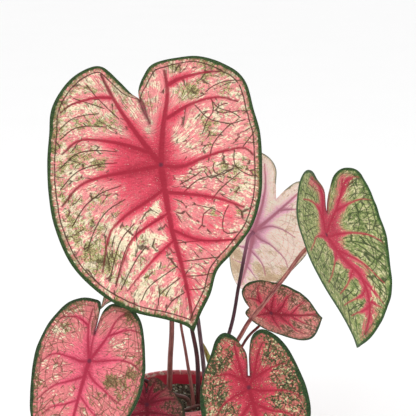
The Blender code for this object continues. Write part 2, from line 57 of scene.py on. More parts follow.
# Pot and soil (metres), as packed
RIM_RADIUS = 0.065
BASE_RADIUS = 0.046
POT_HEIGHT = 0.112
WALL = 0.0016
LIP_HEIGHT = 0.0042
LIP_STEP = 0.0026
FLOOR = 0.0025
FLOOR_ROUNDING = 0.002
FOOT_HEIGHT = 0.0015
DRAIN_RADIUS = 0.004
DRAIN_CIRCLE = 0.028
DRAIN_COUNT = 5
OUTER_SLOPE = (RIM_RADIUS - LIP_STEP - BASE_RADIUS) / (POT_HEIGHT - LIP_HEIGHT)
INNER_FOOT = (BASE_RADIUS + OUTER_SLOPE * FLOOR - WALL, FLOOR + FLOOR_ROUNDING)
INNER_TOP = (RIM_RADIUS - LIP_STEP - WALL - 0.0004, POT_HEIGHT - 0.0016)
SOIL_TOP = 0.097
GAP = 0.0003
STALK_DEPTH = 0.016

# Soil surface (metres): its height of swell and of crumbs, and its loose grains
SWELL = 0.0022
CRUMB = 0.0009
GRAIN_COUNT = 1500
GRAIN_SIZES = (0.0007, 0.0013)

# Blades (mm)
BLADE_THICKNESS = 0.8
FOLD_SOFTNESS = 12.0
CREASE_WIDTH = 8.0
MARGIN_WAVE_WIDTH = 11.0
MESH_SPACING = 5.2
EDGE_SPACING = 3.0
RIM_WIDTH = 3.0
RIM_THICKNESS_SHARE = 0.45
VEIN_GROOVE = 0.22
VEIN_RIB_SHARE = 0.30
THREAD_WIDTH = 0.7
THREAD_GROOVE = 0.08
THREAD_RIB = 0.15
THREAD_SWELL = 0.35
NOTCH_BEARING = 205.0
SIDES_APART = 9.0

# Stalks (mm)
STALK_SIDES = 20
STALK_STEP = 2.5
SHEATH_LENGTH = 24.0

# How much light reaches a surface that faces the camera
STUDIO_LIGHT = 1.25

def rows(text):
    """Rows of numbers from a text: numbers parted by spaces, rows parted by commas."""
    return [tuple(float(number) for number in row.split()) for row in text.split(",")]


def seen(red, green, blue):
    """The surface colour that shows as these 0 to 255 screen values in the studio's light."""
    parts = []
    for value in (red, green, blue):
        share = value / 255
        light = share / 12.92 if share <= 0.04045 else ((share + 0.055) / 1.055) ** 2.4
        parts.append(light / STUDIO_LIGHT)
    return (*parts, 1.0)


def colours(text):
    """Named colours from a text: each name with its screen values, parted by commas."""
    return {name: seen(*map(float, values)) for name, *values in (item.split() for item in text.split(","))}


# A common heart: bearings from the tip (degrees) and the reach there as a share of the length
COMMON_HEART = rows("179 0.27, 172 0.44, 164 0.62, 156 0.71, 147 0.74, 135 0.73, 120 0.69, 104 0.64, "
    "88 0.63, 71 0.65, 57 0.69, 43 0.72, 30 0.76, 19 0.82, 9 0.89")

# A vein leaves the midrib at a fraction of its length, ends at one bearing and sets off at another.
COMMON_VEINS = rows("0 158 172, 0 128 140, 0 98 112, 0.16 68 84, 0.36 46 66, 0.58 26 50")

# Left and right: bearings and reach along each margin, from the notch to the tip. Each vein: its width
# at the start and at the end, and the points that it follows. Threads are the thin side veins.
LEAVES = {
    "large": dict(
        junction=(-15, -35, 368.5), heading=-2, lift=28, roll=8, fold=(8, 8), droop=25, lobe_droop=12,
        length=175, tip=(12, -172), sinus=(66, 92), bulge=1.6, wave=1.5, waves=9,
        left="172 46, 170 72, 165 84, 161 103, 157 125, 150 130, 138 130, 124 126, 110 116, 95 114, 80 117, "
            "65 124, 48 135, 32 143, 18 150, 6 156, -1 164",
        right="188 46, 191 64, 190 84, 184 101, 178 113, 167 119, 155 125, 140 124, 127 121, 112 109, "
            "98 105, 80 103, 64 107, 48 112, 32 115, 21 121, 14 139, 8 155",
        midrib="0 0, 1 -29, 3 -67, 8 -102, 11 -130, 12 -160",
        veins="6.2 3: 0 0, 6 37, 15 75, 15 104; 4 1.6: 12 49, 39 60, 66 62, 86 53; "
            "5 1.5: 16 86, 29 91, 53 93, 74 90; 4 1.8: 0 -1, 22 -5, 51 2, 84 4, 94 -5; "
            "3.8 1.7: 1 -29, 28 -35, 54 -43, 78 -55; 2.8 1.2: 3 -67, 24 -79, 44 -84, 66 -85; "
            "6 2.6: 0 0, -15 25, -35 63, -47 93, -51 106; 3.4 1.5: -43 78, -61 79, -84 73, -96 65; "
            "4.4 1.8: -6 12, -30 23, -56 31, -80 33, -98 20; "
            "4.6 1.8: 0 -1, -33 -4, -62 -7, -84 -14, -103 -32; "
            "3.6 1.5: 1 -25, -18 -36, -41 -48, -59 -64, -71 -100; "
            "2.6 1.2: 2 -50, -21 -61, -37 -72, -49 -92, -59 -114; 2.2 1: 4 -78, -16 -92, -34 -108, -49 -122",
        threads="-4 -54, -27 -64, -41 -75, -51 -93, -60 -116; 4 -104, -26 -120, -36 -133; "
            "5 -116, -15 -128, -19 -134, -20 -140; 8 -131, -6 -138, -14 -148; 5 -81, 29 -82, 65 -85; "
            "10 -100, 26 -100, 47 -100; 11 -115, 25 -116, 39 -115; 13 -129, 27 -129, 34 -125; "
            "60 60, 60 47, 53 39, 46 25; 42 58, 54 40, 73 31, 76 30, 91 32; 76 30, 66 23, 55 12, 51 2; "
            "59 62, 65 50, 79 42, 86 35; 103 24, 96 15, 85 5; 76 3, 74 -10, 79 -19, 90 -26; "
            "54 -7, 52 -14, 58 -20, 73 -16; 43 -14, 49 -22, 63 -17, 73 -16; 20 -31, 37 -21, 58 -20; "
            "47 -43, 58 -33, 78 -21; 17 -23, 28 -19, 39 -14; 46 -51, 36 -57, 35 -65, 30 -70; "
            "63 -51, 57 -60, 54 -72, 57 -78, 69 -78; 55 70, 64 75, 78 77, 94 73, 102 60, 105 47"),
    "lower_left": dict(
        junction=(-87.4, -80, 175.4), heading=-12, lift=25, roll=-12, fold=(8, 8), droop=20, lobe_droop=0,
        length=105, tip=(0, -108), bulge=1.2, wave=1.2, waves=7,
        left="173 28, 175 48, 174 60, 167 63, 156 65, 143 64, 130 60, 112 57, 92 56, 75 57, 60 61, 46 69, "
            "34 79, 22 90, 9 101",
        right="187 28, 184 42, 180 55, 173 63, 159 68, 143 67, 125 62, 108 60, 94 62, 78 66, 64 69, 50 73, "
            "36 80, 23 90, 10 101",
        veins="3 1.2: 0 0, -7 17, -12 34, -13 51; 2.2 1: -12 34, -25 39, -35 37, -42 33; "
            "2 1: 0 2, -3 20, -3 39; 3 1.2: 0 0, 4 10, 11 29, 14 44, 18 52, 25 59; "
            "2.2 1: 11 29, 20 35, 31 41, 44 41; 2.4 1: 0 0, 9 2, 26 8, 36 10, 47 9, 55 5; "
            "2.4 1: 0 -8, 9 -17, 23 -23, 36 -29, 46 -32; "
            "2.4 1: 0 0, -8 -3, -19 -2, -33 -2, -40 -5, -49 -16; "
            "2.4 1: 0 -16, -12 -24, -26 -32, -35 -42, -41 -52; 2 0.9: 1 -40, -11 -48, -25 -55, -32 -64; "
            "2 0.9: 1 -36, 16 -47, 34 -56; 1.8 0.8: 1 -58, 13 -68, 27 -77; 1.8 0.8: 1 -62, -12 -70, -25 -78"),
    "lower_middle": dict(
        junction=(73.9, -80, 146.8), heading=8, lift=25, roll=12, fold=(8, 8), droop=20, lobe_droop=0,
        length=105, bulge=1.2, wave=1.2, waves=7,
        left="192 12, 192 33, 185 44, 179 54, 170 61, 160 59, 147 52, 132 49, 116 49, 100 51, 83 55, 66 61, "
            "50 68, 35 77, 21 88, 9 98",
        right="160 12, 164 34, 161 52, 152 61, 138 60, 122 57, 106 55, 90 55, 74 59, 58 66, 45 72, 32 80, "
            "20 89, 9 98",
        veins="3 1.2: 0 0, -3 11, -3 27, -3 37, -3 47; 2.4 1: -2 6, -14 17, -21 19, -33 20; "
            "3 1.2: 0 0, 7 8, 14 22, 20 33, 26 40; 2.2 1: 7 7, 19 11, 31 14, 43 14; "
            "2.4 1: 0 -1, 10 -6, 22 -9, 37 -13, 49 -22; 2.4 1: 0 -16, 16 -28, 29 -33, 43 -44; "
            "2 0.9: 1 -40, 18 -52, 34 -62; 2.6 1: 0 -1, -10 -4, -20 -6, -31 -10, -40 -19; "
            "2.2 1: 0 -14, -14 -25, -29 -34, -39 -46; 2 0.9: 1 -36, -15 -48, -30 -60; "
            "1.8 0.8: 1 -60, 13 -70, 25 -80; 1.8 0.8: 1 -58, -12 -68, -24 -78"),
    "right": dict(
        junction=(154.8, -20, 291.4), heading=63, lift=33, roll=-15, fold=(12, 23), droop=27,
        lobe_droop=-50, sweep=0.25, length=123, tip=(-15, -120), bulge=1.2, wave=0.8, waves=6,
        left="203 27, 188 49, 169 61, 152 78, 140 92, 131 90, 118 78, 101 78, 85 87, 71 93, 57 89, 43 88, "
            "29 92, 17 101, 10 111",
        right="157 27, 165 52, 167 68, 162 81, 151 90, 137 91, 118 88, 98 82, 79 83, 61 83, 47 89, 33 96, "
            "20 104, 8 114, -2 119",
        midrib="0 0, 6 -15, 15 -31, 27 -46, 30 -60, 29 -76, 23 -91, 12 -107",
        veins="3 1.6: 0 0, 15 15, 27 31, 32 49, 30 63; 2 1: 32 50, 37 64, 48 70, 59 69; "
            "2.4 1: 23 25, 47 36, 61 41, 75 40; 2.6 1: 4 -2, 23 -1, 41 -3, 57 -7, 70 -14, 76 -20; "
            "2.4 1: 8 -18, 13 -20, 33 -32, 43 -41, 51 -51, 57 -58; 2 0.9: 28 -50, 39 -64, 49 -80; "
            "1.8 0.8: 29 -74, 38 -78, 46 -83; 3 1.4: 0 0, 3 15, 5 41, -6 54, -33 61; "
            "2.2 1: 2 18, -3 29, -24 36, -48 37; 1.8 0.8: 0 -2, -14 -2, -34 -5, -47 -12, -70 -22; "
            "1.8 0.8: 7 -19, -6 -31, -26 -44, -47 -53; 1.8 0.8: 21 -40, 3 -56, -20 -64; "
            "1.6 0.8: 29 -60, 19 -68, -19 -76; 1.6 0.8: 27 -79, 20 -82, -5 -87"),
    "back": dict(
        junction=(82.6, 55, 275.1), heading=145, lift=22, roll=29, fold=(10, 28), droop=-22, lobe_droop=-35,
        length=130, tip=(-1, -124), bulge=1.1, wave=0.4, waves=6,
        left="172 53, 170 70, 167 84, 160 92, 150 91, 138 83, 124 74, 108 66, 90 62, 69 61, 48 68, 30 83, "
            "17 100, 7 114",
        right="188 53, 180 66, 174 81, 165 90, 154 95, 143 92, 130 82, 113 66, 90 55, 60 53, 35 62, 20 77, "
            "12 97, 6 112",
        midrib="0 0, -3 -29, -4 -59, -3 -88, -1 -114",
        veins="4 1.4: 0 0, 1 18, 3 38, 10 59, 25 78; 4.4 1.4: 0 0, -8 21, -14 37, -18 48, -22 60, -26 73; "
            "2.4 1: -16 43, -24 49, -32 54; 2.4 0.9: -3 6, -9 14, -15 20, -24 23, -35 23, -44 21; "
            "2.6 0.9: 0 -2, -10 -5, -21 -5, -35 -11, -44 -18, -49 -28; "
            "2.4 0.9: -3 -28, -6 -31, -14 -36, -22 -44, -28 -61; 2.4 0.9: 0 0, 14 -3, 30 -6, 43 -16; "
            "2.2 0.9: -3 -26, 10 -36, 26 -46; 2 0.9: 2 24, 18 34, 34 40; 1.8 0.8: -4 -56, 10 -66, 19 -72; "
            "1.8 0.8: -4 -60, -14 -70, -22 -80"),
    "small": dict(
        junction=(101.3, 32, 189.1), heading=42, lift=41, roll=67, fold=(27, 27), droop=4, lobe_droop=-20,
        sweep=0.1, length=72, bulge=0.8, wave=0.5, waves=5,
        left="179 32, 168 42, 160 49, 148 46, 128 38, 110 35, 92 36, 76 40, 58 47, 42 53, 28 57, 13 63",
        right="181 32, 171 39, 163 47, 154 48, 144 46, 132 42, 118 39, 100 36, 79 36, 64 38, 49 42, 36 48, "
            "24 55, 10 63",
        midrib="0 0, 0 -12, 1 -25, 2 -41, 4 -56, 3 -66",
        veins="1.8 0.9: 0 0, 9 -1, 17 -3, 26 -4; 2 0.9: 1 -6, 3 -9, 11 -16, 18 -19, 24 -24, 27 -29; "
            "1.8 0.8: 1 -26, 13 -38, 20 -46; 2.2 0.9: 0 0, 6 7, 11 16, 12 25, 10 36; "
            "1.8 0.8: 11 16, 19 19, 25 21, 30 19; 2.2 0.9: 0 0, -4 12, -8 21, -15 36; "
            "2 0.9: 0 0, -9 -1, -17 -3, -25 -3; 2 0.9: 0 -10, -8 -17, -15 -22, -22 -26, -27 -36; "
            "1.4 0.8: 1 -25, -5 -36, -12 -51"),
    "dark": dict(
        junction=(-30.8, -62, 120.8), heading=4, lift=32, roll=0, fold=(10, 10), droop=18, lobe_droop=5,
        length=64, bulge=0.7, wave=0.4, waves=5,
        left="180 13, 176 23, 168 29, 156 30, 142 29, 126 28, 110 30, 95 33, 80 37, 65 42, 48 46, 32 51, "
            "19 56, 8 61",
        right="180 13, 176 23, 169 29, 158 30, 146 29, 132 28, 116 30, 102 33, 87 38, 70 42, 52 46, 35 51, "
            "20 56, 8 61"),
    "peeking": dict(
        junction=(-42, 23.2, 235.1), heading=-75, lift=62, roll=0, fold=(9, 9), droop=22, lobe_droop=5,
        length=56, bulge=1, wave=0.8, waves=6),
    "rear_left": dict(
        junction=(-62, 78, 335), heading=205, lift=35, roll=-6, fold=(9, 9), droop=26, lobe_droop=6,
        length=92, bulge=1, wave=0.9, waves=6),
    "rear_top": dict(
        junction=(16, 92, 380), heading=172, lift=33, roll=5, fold=(9, 9), droop=24, lobe_droop=8,
        length=102, bulge=1, wave=0.9, waves=7),
}

# Uneven places on a blade: the place and its radius (mm), then how much paler, greener and rosier it is.
PATCHES = {
    "large": "35 70 14 0.3 0.25 -0.2, 28 30 14 0.25 0 0, 50 34 12 0.1 0.35 -0.1, 40 72 8 0 0.3 0, "
        "62 92 14 0 0.4 -0.2, 82 70 12 0.1 0.15 -0.2, 58 -12 13 0.25 0.15 -0.1, 76 -14 10 0.2 0.25 -0.1, "
        "82 -32 12 0.25 0.05 0, 46 -44 10 0.25 0 0, 46 -57 4 0.1 0.5 0, 38 -12 14 0.2 0 0, "
        "-36 86 12 0.35 0 -0.2, -26 58 10 0.35 0 -0.1, -16 40 8 0.3 0 -0.1, -66 90 18 0.15 0.2 -0.3, "
        "-88 74 14 0.2 0.25 -0.3, -98 54 12 0.2 0.3 -0.3, -70 58 16 0.2 0.15 -0.2, -48 50 10 0.15 0.25 0, "
        "-92 10 16 0.25 0.25 -0.2, -66 10 12 0.1 0.45 -0.1, -100 -22 14 0.2 0.15 -0.2, "
        "-78 -32 14 0.1 0.1 0, -92 -58 18 0.3 0.35 -0.4, -74 -86 16 0.3 0.35 -0.4, -9 -46 12 0.45 0 -0.1, "
        "-18 -78 14 0.3 0 -0.1, -44 -72 16 0.3 0 -0.2, -58 -98 14 0.25 0.2 -0.2, "
        "-36 -112 14 0.25 0.05 -0.1, -50 -58 12 0.2 0 -0.1, -10 -120 14 0.2 0 0, 34 -76 40 -0.1 -0.1 0.35, "
        "58 -64 22 0 0 0.2, 20 -130 22 0 0 0.3, 18 40 22 0 -0.1 0.3, -30 -22 24 -0.1 -0.1 0.75, "
        "-36 12 20 -0.1 -0.1 0.75, -22 44 10 0 0 0.3, 80 18 18 0 -0.1 0.1, -28 100 10 0 0 0.1, "
        "22 98 14 0.1 0 0.1",
    "lower_left": "-38 24 13 0.5 0.15 -0.3, 28 -14 9 0.1 0.5 -0.2, -26 46 12 0.25 0.1 -0.1, "
        "46 0 14 0 0.35 -0.1, 44 -26 12 0.1 0.3 -0.1, -46 -6 10 0.1 0.25 -0.1, 26 52 10 0 0.35 -0.1, "
        "-44 -46 12 0.3 0.1 -0.1, 30 26 10 0.25 0 -0.1, -30 -18 12 0.2 0 0",
    "lower_middle": "-26 32 10 0.2 0.3 -0.3, 34 28 12 0.2 0.3 -0.3, -34 -2 10 0.2 0.3 -0.3, "
        "40 -4 10 0.2 0.3 -0.3",
    "right": "50 20 18 0.2 0.2 -0.1, 60 -30 18 0.2 0.2 -0.1, -20 -40 18 0.1 0.2 -0.1, "
        "10 -70 14 0.1 0.2 -0.1, 22 10 16 0.1 0 0.3, 44 62 16 0.25 0 0.15, 40 -70 16 0.25 0 0.05",
    "back": "-30 -60 22 0 0.5 -0.2, 10 -60 20 0 0.55 -0.2, 16 -90 20 0 0.6 -0.2, -30 -20 14 0 0.25 0",
    "small": "-20 -14 8 0.3 0.3 -0.2, 16 -34 8 0.3 0 0, -16 -40 8 0.3 0.1 0, 0 -14 14 0 -0.2 0.4, "
        "-12 24 12 0.3 -0.3 0",
}

# The colours and limits of a pink leaf; its light colour is the tone of the painted glints
PINK_LOOK = dict(
    **colours("pink 242 148 148, cream 255 244 206, green 204 208 130, rose 226 76 98, vein 166 26 52, "
        "outer_vein 104 34 34, net 74 44 26, margin 58 88 38, band 150 120 74, tuck 96 16 34, "
        "navel 84 34 56, light 255 244 226, under 226 184 176"),
    under_share=0.45, pale_from=0.08, green_from=0.22, zone=42, rose_from=0.16, rose_range=0.65,
    spine_width=30, spine_rose=0, mottle=0.8, net_strength=0.85, net_from=0.46, net_width=0.055, cell=0.075,
    fleck=0.55, mosaic=0.3, painted_glint=0.8, grit=0.75, thread=0.9, thread_width=0.95, margin_width=3.2,
    # through is the strength of a painted glow: the leaf gives off its own colour as light, for light coming
    # through it
    band_width=4.2, ring=0.9, through=0)
# Each leaf's own look, as what differs from it
LOOKS = {
    "large": PINK_LOOK,
    "lower_left": dict(
        PINK_LOOK,
        **colours("pink 234 132 134, green 168 158 100, rose 244 108 132, vein 176 36 68, net 96 66 42, "
            "margin 52 80 40, band 134 104 66, tuck 60 20 28"),
        pale_from=0.3, green_from=0.26, zone=46, rose_from=0.1, net_strength=0.8, net_from=0.42,
        net_width=0.065, cell=0.14, mosaic=0.5, thread=0.6, thread_width=0.6, margin_width=3,
        band_width=4.4, ring=0.6),
    "lower_middle": dict(
        PINK_LOOK,
        **colours("pink 206 116 104, cream 222 216 164, green 128 138 78, rose 208 66 86, net 38 44 22, "
            "margin 48 80 38, band 74 84 44, tuck 60 20 24"),
        pale_from=0.16, green_from=0.02, zone=38, rose_from=0.14, spine_rose=0.45, net_from=0.4,
        net_width=0.07, cell=0.18, fleck=0.62, mosaic=1.1, grit=0.9, thread=0.7, thread_width=0.6,
        margin_width=4.4, band_width=4, ring=0.3),
    "right": dict(
        PINK_LOOK,
        **colours("pink 172 182 116, cream 226 218 168, green 130 154 80, rose 222 96 114, vein 186 40 68, "
            "outer_vein 162 48 60, net 50 66 28, margin 60 98 40, band 104 134 62, tuck 110 24 40, "
            "light 240 226 196, under 170 186 150"),
        pale_from=0.1, green_from=0.12, zone=36, rose_from=0.18, rose_range=1, spine_width=20,
        spine_rose=0.75, mottle=0.25, net_strength=0.8, net_from=0.36, net_width=0.085, cell=0.13,
        fleck=0.45, mosaic=0.7, grit=0.9, thread=0.8, thread_width=0.9, band_width=4, ring=0.5),
    # The back leaf shows its pale underside, its colours made paler still as painted light, since it lies in shade
    # behind the large leaf
    "back": dict(
        PINK_LOOK,
        **colours("pink 255 234 222, cream 255 250 232, green 226 212 160, rose 236 176 204, "
            "vein 170 76 112, outer_vein 196 96 118, net 180 140 104, margin 120 120 84, band 230 210 170, "
            "tuck 210 130 155, navel 150 90 120, under 255 240 222"),
        under_share=0.1, pale_from=0.05, green_from=0.26, zone=30, rose_from=0.3, spine_width=20,
        spine_rose=0.35, net_strength=0.5, painted_glint=0.5, grit=0.5, thread=0.4, thread_width=0.6,
        margin_width=0.7, band_width=2, ring=0.1, through=0.36),
    "small": dict(
        PINK_LOOK,
        **colours("pink 218 132 126, cream 232 178 156, green 132 114 74, rose 214 70 94, vein 146 26 48, "
            "outer_vein 120 44 44, net 66 44 30, margin 56 82 42, band 96 84 54, tuck 70 30 36, "
            "under 150 120 110"),
        pale_from=0.2, green_from=0.1, zone=32, rose_from=0.06, mottle=0.5, net_from=0.44, cell=0.19,
        mosaic=0.8, thread=0.6, thread_width=0.5, margin_width=2, band_width=2.5, ring=0.3, through=0.32),
    # The dark leaf lies in shade under the others: its colours are the pink leaf's darkened, as painted shade
    "dark": dict(
        PINK_LOOK,
        **colours("pink 160 84 84, cream 168 128 100, green 96 86 50, rose 168 44 70, vein 118 18 40, "
            "outer_vein 84 30 36, net 52 40 26, margin 62 58 28, band 80 62 44, tuck 60 20 30, "
            "under 130 100 96"),
        pale_from=0.3, green_from=0.04, zone=24, rose_from=0.1, net_from=0.44, cell=0.2, mosaic=0.8,
        thread=0.6, thread_width=0.5, margin_width=2.2, band_width=3, ring=0.4),
    "peeking": dict(
        PINK_LOOK,
        green_from=0.05, zone=22, cell=0.2, thread_width=0.5, margin_width=1.4),
    "rear_left": dict(
        PINK_LOOK,
        zone=30, cell=0.12, thread_width=0.6, margin_width=3),
    "rear_top": dict(
        PINK_LOOK,
        zone=32, cell=0.12, thread_width=0.6, margin_width=3),
}

# Each stalk: where it leaves the soil, its radius at the soil and at the blade, the points it passes (mm),
# and its main colour and those of its streaks, its foot and its top below the blade
STALKS = {
    "large": dict(foot=(-9, -14), radii=(3.3, 2.3), route="-8 -9 149, -6 -7 190, -7 -10 280",
                  colours="164 100 90, 124 66 58, 204 160 150, 150 60 66"),
    "lower_left": dict(foot=(12, -8), radii=(2.6, 1.9), route="-7 -25 119, -52 -50 152",
                       colours="92 28 36, 58 14 22, 170 130 120, 140 50 60"),
    "lower_middle": dict(foot=(34, -20), radii=(2.6, 1.9), route="47 -42 121",
                         colours="120 46 50, 80 24 30, 150 90 86, 140 50 60"),
    "right": dict(foot=(35, 1), radii=(3.0, 2.2), route="69 -14 183, 89 -22 215, 113 -26 249, 130 -27 274",
                  colours="206 134 122, 124 44 46, 170 104 98, 196 110 100"),
    "back": dict(foot=(25, 3), radii=(2.8, 1.9), route="55 15 171, 66 28 223, 73 38 258",
                 colours="104 60 76, 68 36 48, 120 80 84, 196 130 160"),
    "small": dict(foot=(41, -9), radii=(2.2, 1.5), route="70 8 161, 88 22 178",
                  colours="132 48 48, 84 26 30, 120 60 56, 150 60 60"),
    "dark": dict(foot=(25, -19), radii=(2.2, 1.6), approach=6, route="6 -36 104, -17 -48 114",
                 colours="106 78 74, 76 48 48, 120 90 84, 110 40 50"),
    "peeking": dict(foot=(17, -20), radii=(2.3, 1.4), route="10 -8 150, 4 0 183, 1 5 202, -16 12 215",
                    colours="170 102 94, 124 62 58, 176 120 112, 160 80 76"),
    "rear_left": dict(foot=(22, -8), radii=(2.9, 1.8), route="21 0 147, 15 10 179, 12 15 196, -34 55 290",
                      colours="98 34 42, 56 14 22, 110 50 50, 130 50 60"),
    "rear_top": dict(foot=(31, -9), radii=(2.7, 1.9), route="27 5 145, 22 14 186, 19 20 208, 17 62 320",
                     colours="134 106 112, 84 56 66, 140 108 104, 140 80 90"),
}
YOUNG_LEAF = dict(foot=(39, 24), route="36 23 130, 31.5 22 145", end=(26.5, 20, 160))


class Value:
    """A number that varies over a surface: a node's socket that takes part in plain arithmetic."""

    def __init__(self, finish, socket):
        self.finish = finish
        self.socket = socket

    def maths(self, operation, first, second):
        return self.finish.node("ShaderNodeMath", {"operation": operation}, {0: first, 1: second})

    def __add__(self, other):
        return self.maths("ADD", self, other)

    def __radd__(self, other):
        return self.maths("ADD", other, self)

    def __sub__(self, other):
        return self.maths("SUBTRACT", self, other)

    def __rsub__(self, other):
        return self.maths("SUBTRACT", other, self)

    def __mul__(self, other):
        return self.maths("MULTIPLY", self, other)

    def __rmul__(self, other):
        return self.maths("MULTIPLY", other, self)


class Finish:
    """A surface finish: a node material and short ways to add to it."""

    def __init__(self, name):
        self.material = bpy.data.materials.new(name)
        self.material.use_nodes = True
        self.tree = self.material.node_tree
        self.shader = self.tree.nodes["Principled BSDF"]
        self.colour = None

    def node(self, kind, settings=None, sockets=None, output=0):
        made = self.tree.nodes.new(kind)
        for setting, value in (settings or {}).items():
            setattr(made, setting, value)
        for socket, value in (sockets or {}).items():
            if isinstance(value, Value):
                self.tree.links.new(value.socket, made.inputs[socket])
            else:
                made.inputs[socket].default_value = value
        return Value(self, made.outputs[output])

    def attribute(self, name, output="Vector"):
        return self.node("ShaderNodeAttribute", {"attribute_name": name}, output=output)

    def parts(self, vector):
        return [self.node("ShaderNodeSeparateXYZ", None, {0: vector}, axis) for axis in (0, 1, 2)]

    def stretch(self, vector, factors):
        return self.node("ShaderNodeVectorMath", {"operation": "MULTIPLY"}, {0: vector, 1: factors})

    def shift(self, vector, other):
        return self.node("ShaderNodeVectorMath", {"operation": "ADD"}, {0: vector, 1: other})

    def noise(self, vector, scale, detail=2.0, roughness=0.5, output=0):
        return self.node("ShaderNodeTexNoise", None, {"Vector": vector, "Scale": scale, "Detail": detail,
                                                      "Roughness": roughness}, output)

    def cells(self, vector, scale, output="Color", **settings):
        return self.node("ShaderNodeTexVoronoi", {"voronoi_dimensions": "2D", **settings},
                         {"Vector": vector, "Scale": scale}, output)

    def cell_edges(self, vector, scale):
        return self.cells(vector, scale, "Distance", feature="DISTANCE_TO_EDGE")

    def smooth(self, value, low, high):
        """0 below low and 1 above high, with a smooth step between; low may be above high."""
        if low > high:
            return 1.0 - self.smooth(value, high, low)
        return self.node("ShaderNodeMapRange", {"interpolation_type": "SMOOTHSTEP"},
                         {"Value": value, "From Min": low, "From Max": high})

    def mix(self, share, first, second, blend="MIX"):
        return self.node("ShaderNodeMix", {"data_type": "RGBA", "blend_type": blend, "clamp_factor": True},
                         {0: share, 6: first, 7: second}, 2)

    def paint(self, share, tone):
        """Lay a share of a tone over the colour that the surface has so far."""
        self.colour = self.mix(share, self.colour, tone)

    def warp(self, vector, scale, amount):
        """The vector pushed about by a noise, so that patterns on it run unevenly."""
        push = self.noise(vector, scale, 1.0, output="Color")
        centred = self.shift(push, (-0.5, -0.5, -0.5))
        return self.shift(vector, self.stretch(centred, (amount, amount, 0.0)))

    def feed(self, socket, value):
        if isinstance(value, Value):
            self.tree.links.new(value.socket, self.shader.inputs[socket])
        else:
            self.shader.inputs[socket].default_value = value

    def bump(self, height, strength, distance):
        self.feed("Normal", self.node("ShaderNodeBump", None,
                                      {"Height": height, "Strength": strength, "Distance": distance}))


def curve_through(points, samples_each, leaving=None, arriving=None):
    """A smooth curve through the points, with the same number of samples on each stretch.

    leaving and arriving are directions at its two ends; without them it starts and ends straight.
    """
    points = [np.asarray(point, float) for point in points]
    slopes = [0.5 * (after - before) for before, after in zip(points, points[2:])]
    first, last = points[1] - points[0], points[-1] - points[-2]
    if leaving is not None:
        first = np.asarray(leaving) * np.linalg.norm(first)
    if arriving is not None:
        last = np.asarray(arriving) * np.linalg.norm(last)
    slopes = [first] + slopes + [last]
    curve = [points[0]]
    for a, b, leave, arrive in zip(points, points[1:], slopes, slopes[1:]):
        for step in range(1, samples_each + 1):
            u = step / samples_each
            curve.append((2 * u ** 3 - 3 * u ** 2 + 1) * a + (u ** 3 - 2 * u ** 2 + u) * leave
                         + (3 * u ** 2 - 2 * u ** 3) * b + (u ** 3 - u ** 2) * arrive)
    return np.array(curve)


def path_length(path):
    """How far along the path each of its points lies."""
    return np.concatenate([[0.0], np.cumsum(np.linalg.norm(np.diff(path, axis=0), axis=1))])


def resampled(curve, count):
    """The curve again as count points at equal steps."""
    along = path_length(curve)
    wanted = np.linspace(0.0, along[-1], count)
    return np.stack([np.interp(wanted, along, curve[:, axis]) for axis in range(curve.shape[1])], axis=1)


def spaced(curve, spacing):
    """The curve again, at equal steps of about the given spacing."""
    return resampled(curve, max(2, round(path_length(curve)[-1] / spacing)) + 1)


def flat_point(bearing, reach, side):
    """A point of the flat blade: bearing in degrees from the tip's direction, to the left or right side."""
    angle = math.radians(bearing)
    return (side * reach * math.sin(angle), -reach * math.cos(angle))


def outline_side(leaf, side):
    """One margin of the blade from the notch between the lobes to the tip."""
    own = leaf.get("left" if side < 0 else "right")
    points = rows(own) if own else [(bearing, share * leaf["length"]) for bearing, share in COMMON_HEART]
    curve = [flat_point(bearing, reach, side) for bearing, reach in points]
    return curve_through(curve + [leaf.get("tip", (0, -leaf["length"]))], 8)


def blade_outline(leaf, spacing):
    left = spaced(outline_side(leaf, -1), spacing)
    right = spaced(outline_side(leaf, 1), spacing)
    join = [left[0]] if np.allclose(left[0], right[0], atol=0.5) else [left[0], right[0]]
    return np.array(list(reversed(left[1:])) + join + list(right[1:-1]))


def midrib(leaf):
    straight = ((0, 0), (0, -0.5 * leaf["length"]), (0, -0.93 * leaf["length"]))
    return curve_through(rows(leaf["midrib"]) if "midrib" in leaf else straight, 8)


def inside(outline, points):
    """Which of the points lie inside the closed outline."""
    hit = np.zeros(len(points), bool)
    x, y = points[:, 0], points[:, 1]
    for a, b in zip(np.roll(outline, 1, axis=0), outline):
        if a[1] == b[1]:
            continue
        crossing = (a[0] - b[0]) * (y - b[1]) / (a[1] - b[1]) + b[0]
        hit ^= ((b[1] > y) != (a[1] > y)) & (x < crossing)
    return hit


def common_vein(leaf, start, end_bearing, leaving_bearing, side):
    spine = midrib(leaf)
    first = spine[int(start * (len(spine) - 1))]
    margin = outline_side(leaf, side)
    bearings = np.degrees(np.arctan2(side * margin[:, 0], -margin[:, 1]))
    reach = np.hypot(*margin[int(np.argmin(np.abs(bearings - end_bearing)))])
    end = np.array(flat_point(end_bearing, 0.91 * reach, side))
    bend = first + np.array(flat_point(leaving_bearing, 1.0, side)) * 0.5 * np.linalg.norm(end - first)
    return np.array([(1 - u) ** 2 * first + 2 * u * (1 - u) * bend + u ** 2 * end
                     for u in np.linspace(0, 1, 12)])


def blade_veins(leaf):
    """The main veins, each as its width at both ends and its line in the flat blade; the midrib is first."""
    size = leaf["length"] / 175
    veins = [(1.6 + 5.2 * size, 0.8 + 1.6 * size, midrib(leaf))]
    if "veins" in leaf:
        for vein in leaf["veins"].split(";"):
            widths, points = vein.split(":")
            veins.append((*rows(widths)[0], curve_through(rows(points), 6)))
    else:
        veins += [(2.4, 0.9, common_vein(leaf, *vein, side)) for side in (-1, 1) for vein in COMMON_VEINS]
    return [(start, end, spaced(line, MESH_SPACING)) for start, end, line in veins]


def end_bearing(line):
    return math.degrees(math.atan2(abs(line[-1, 0]), -line[-1, 1]))


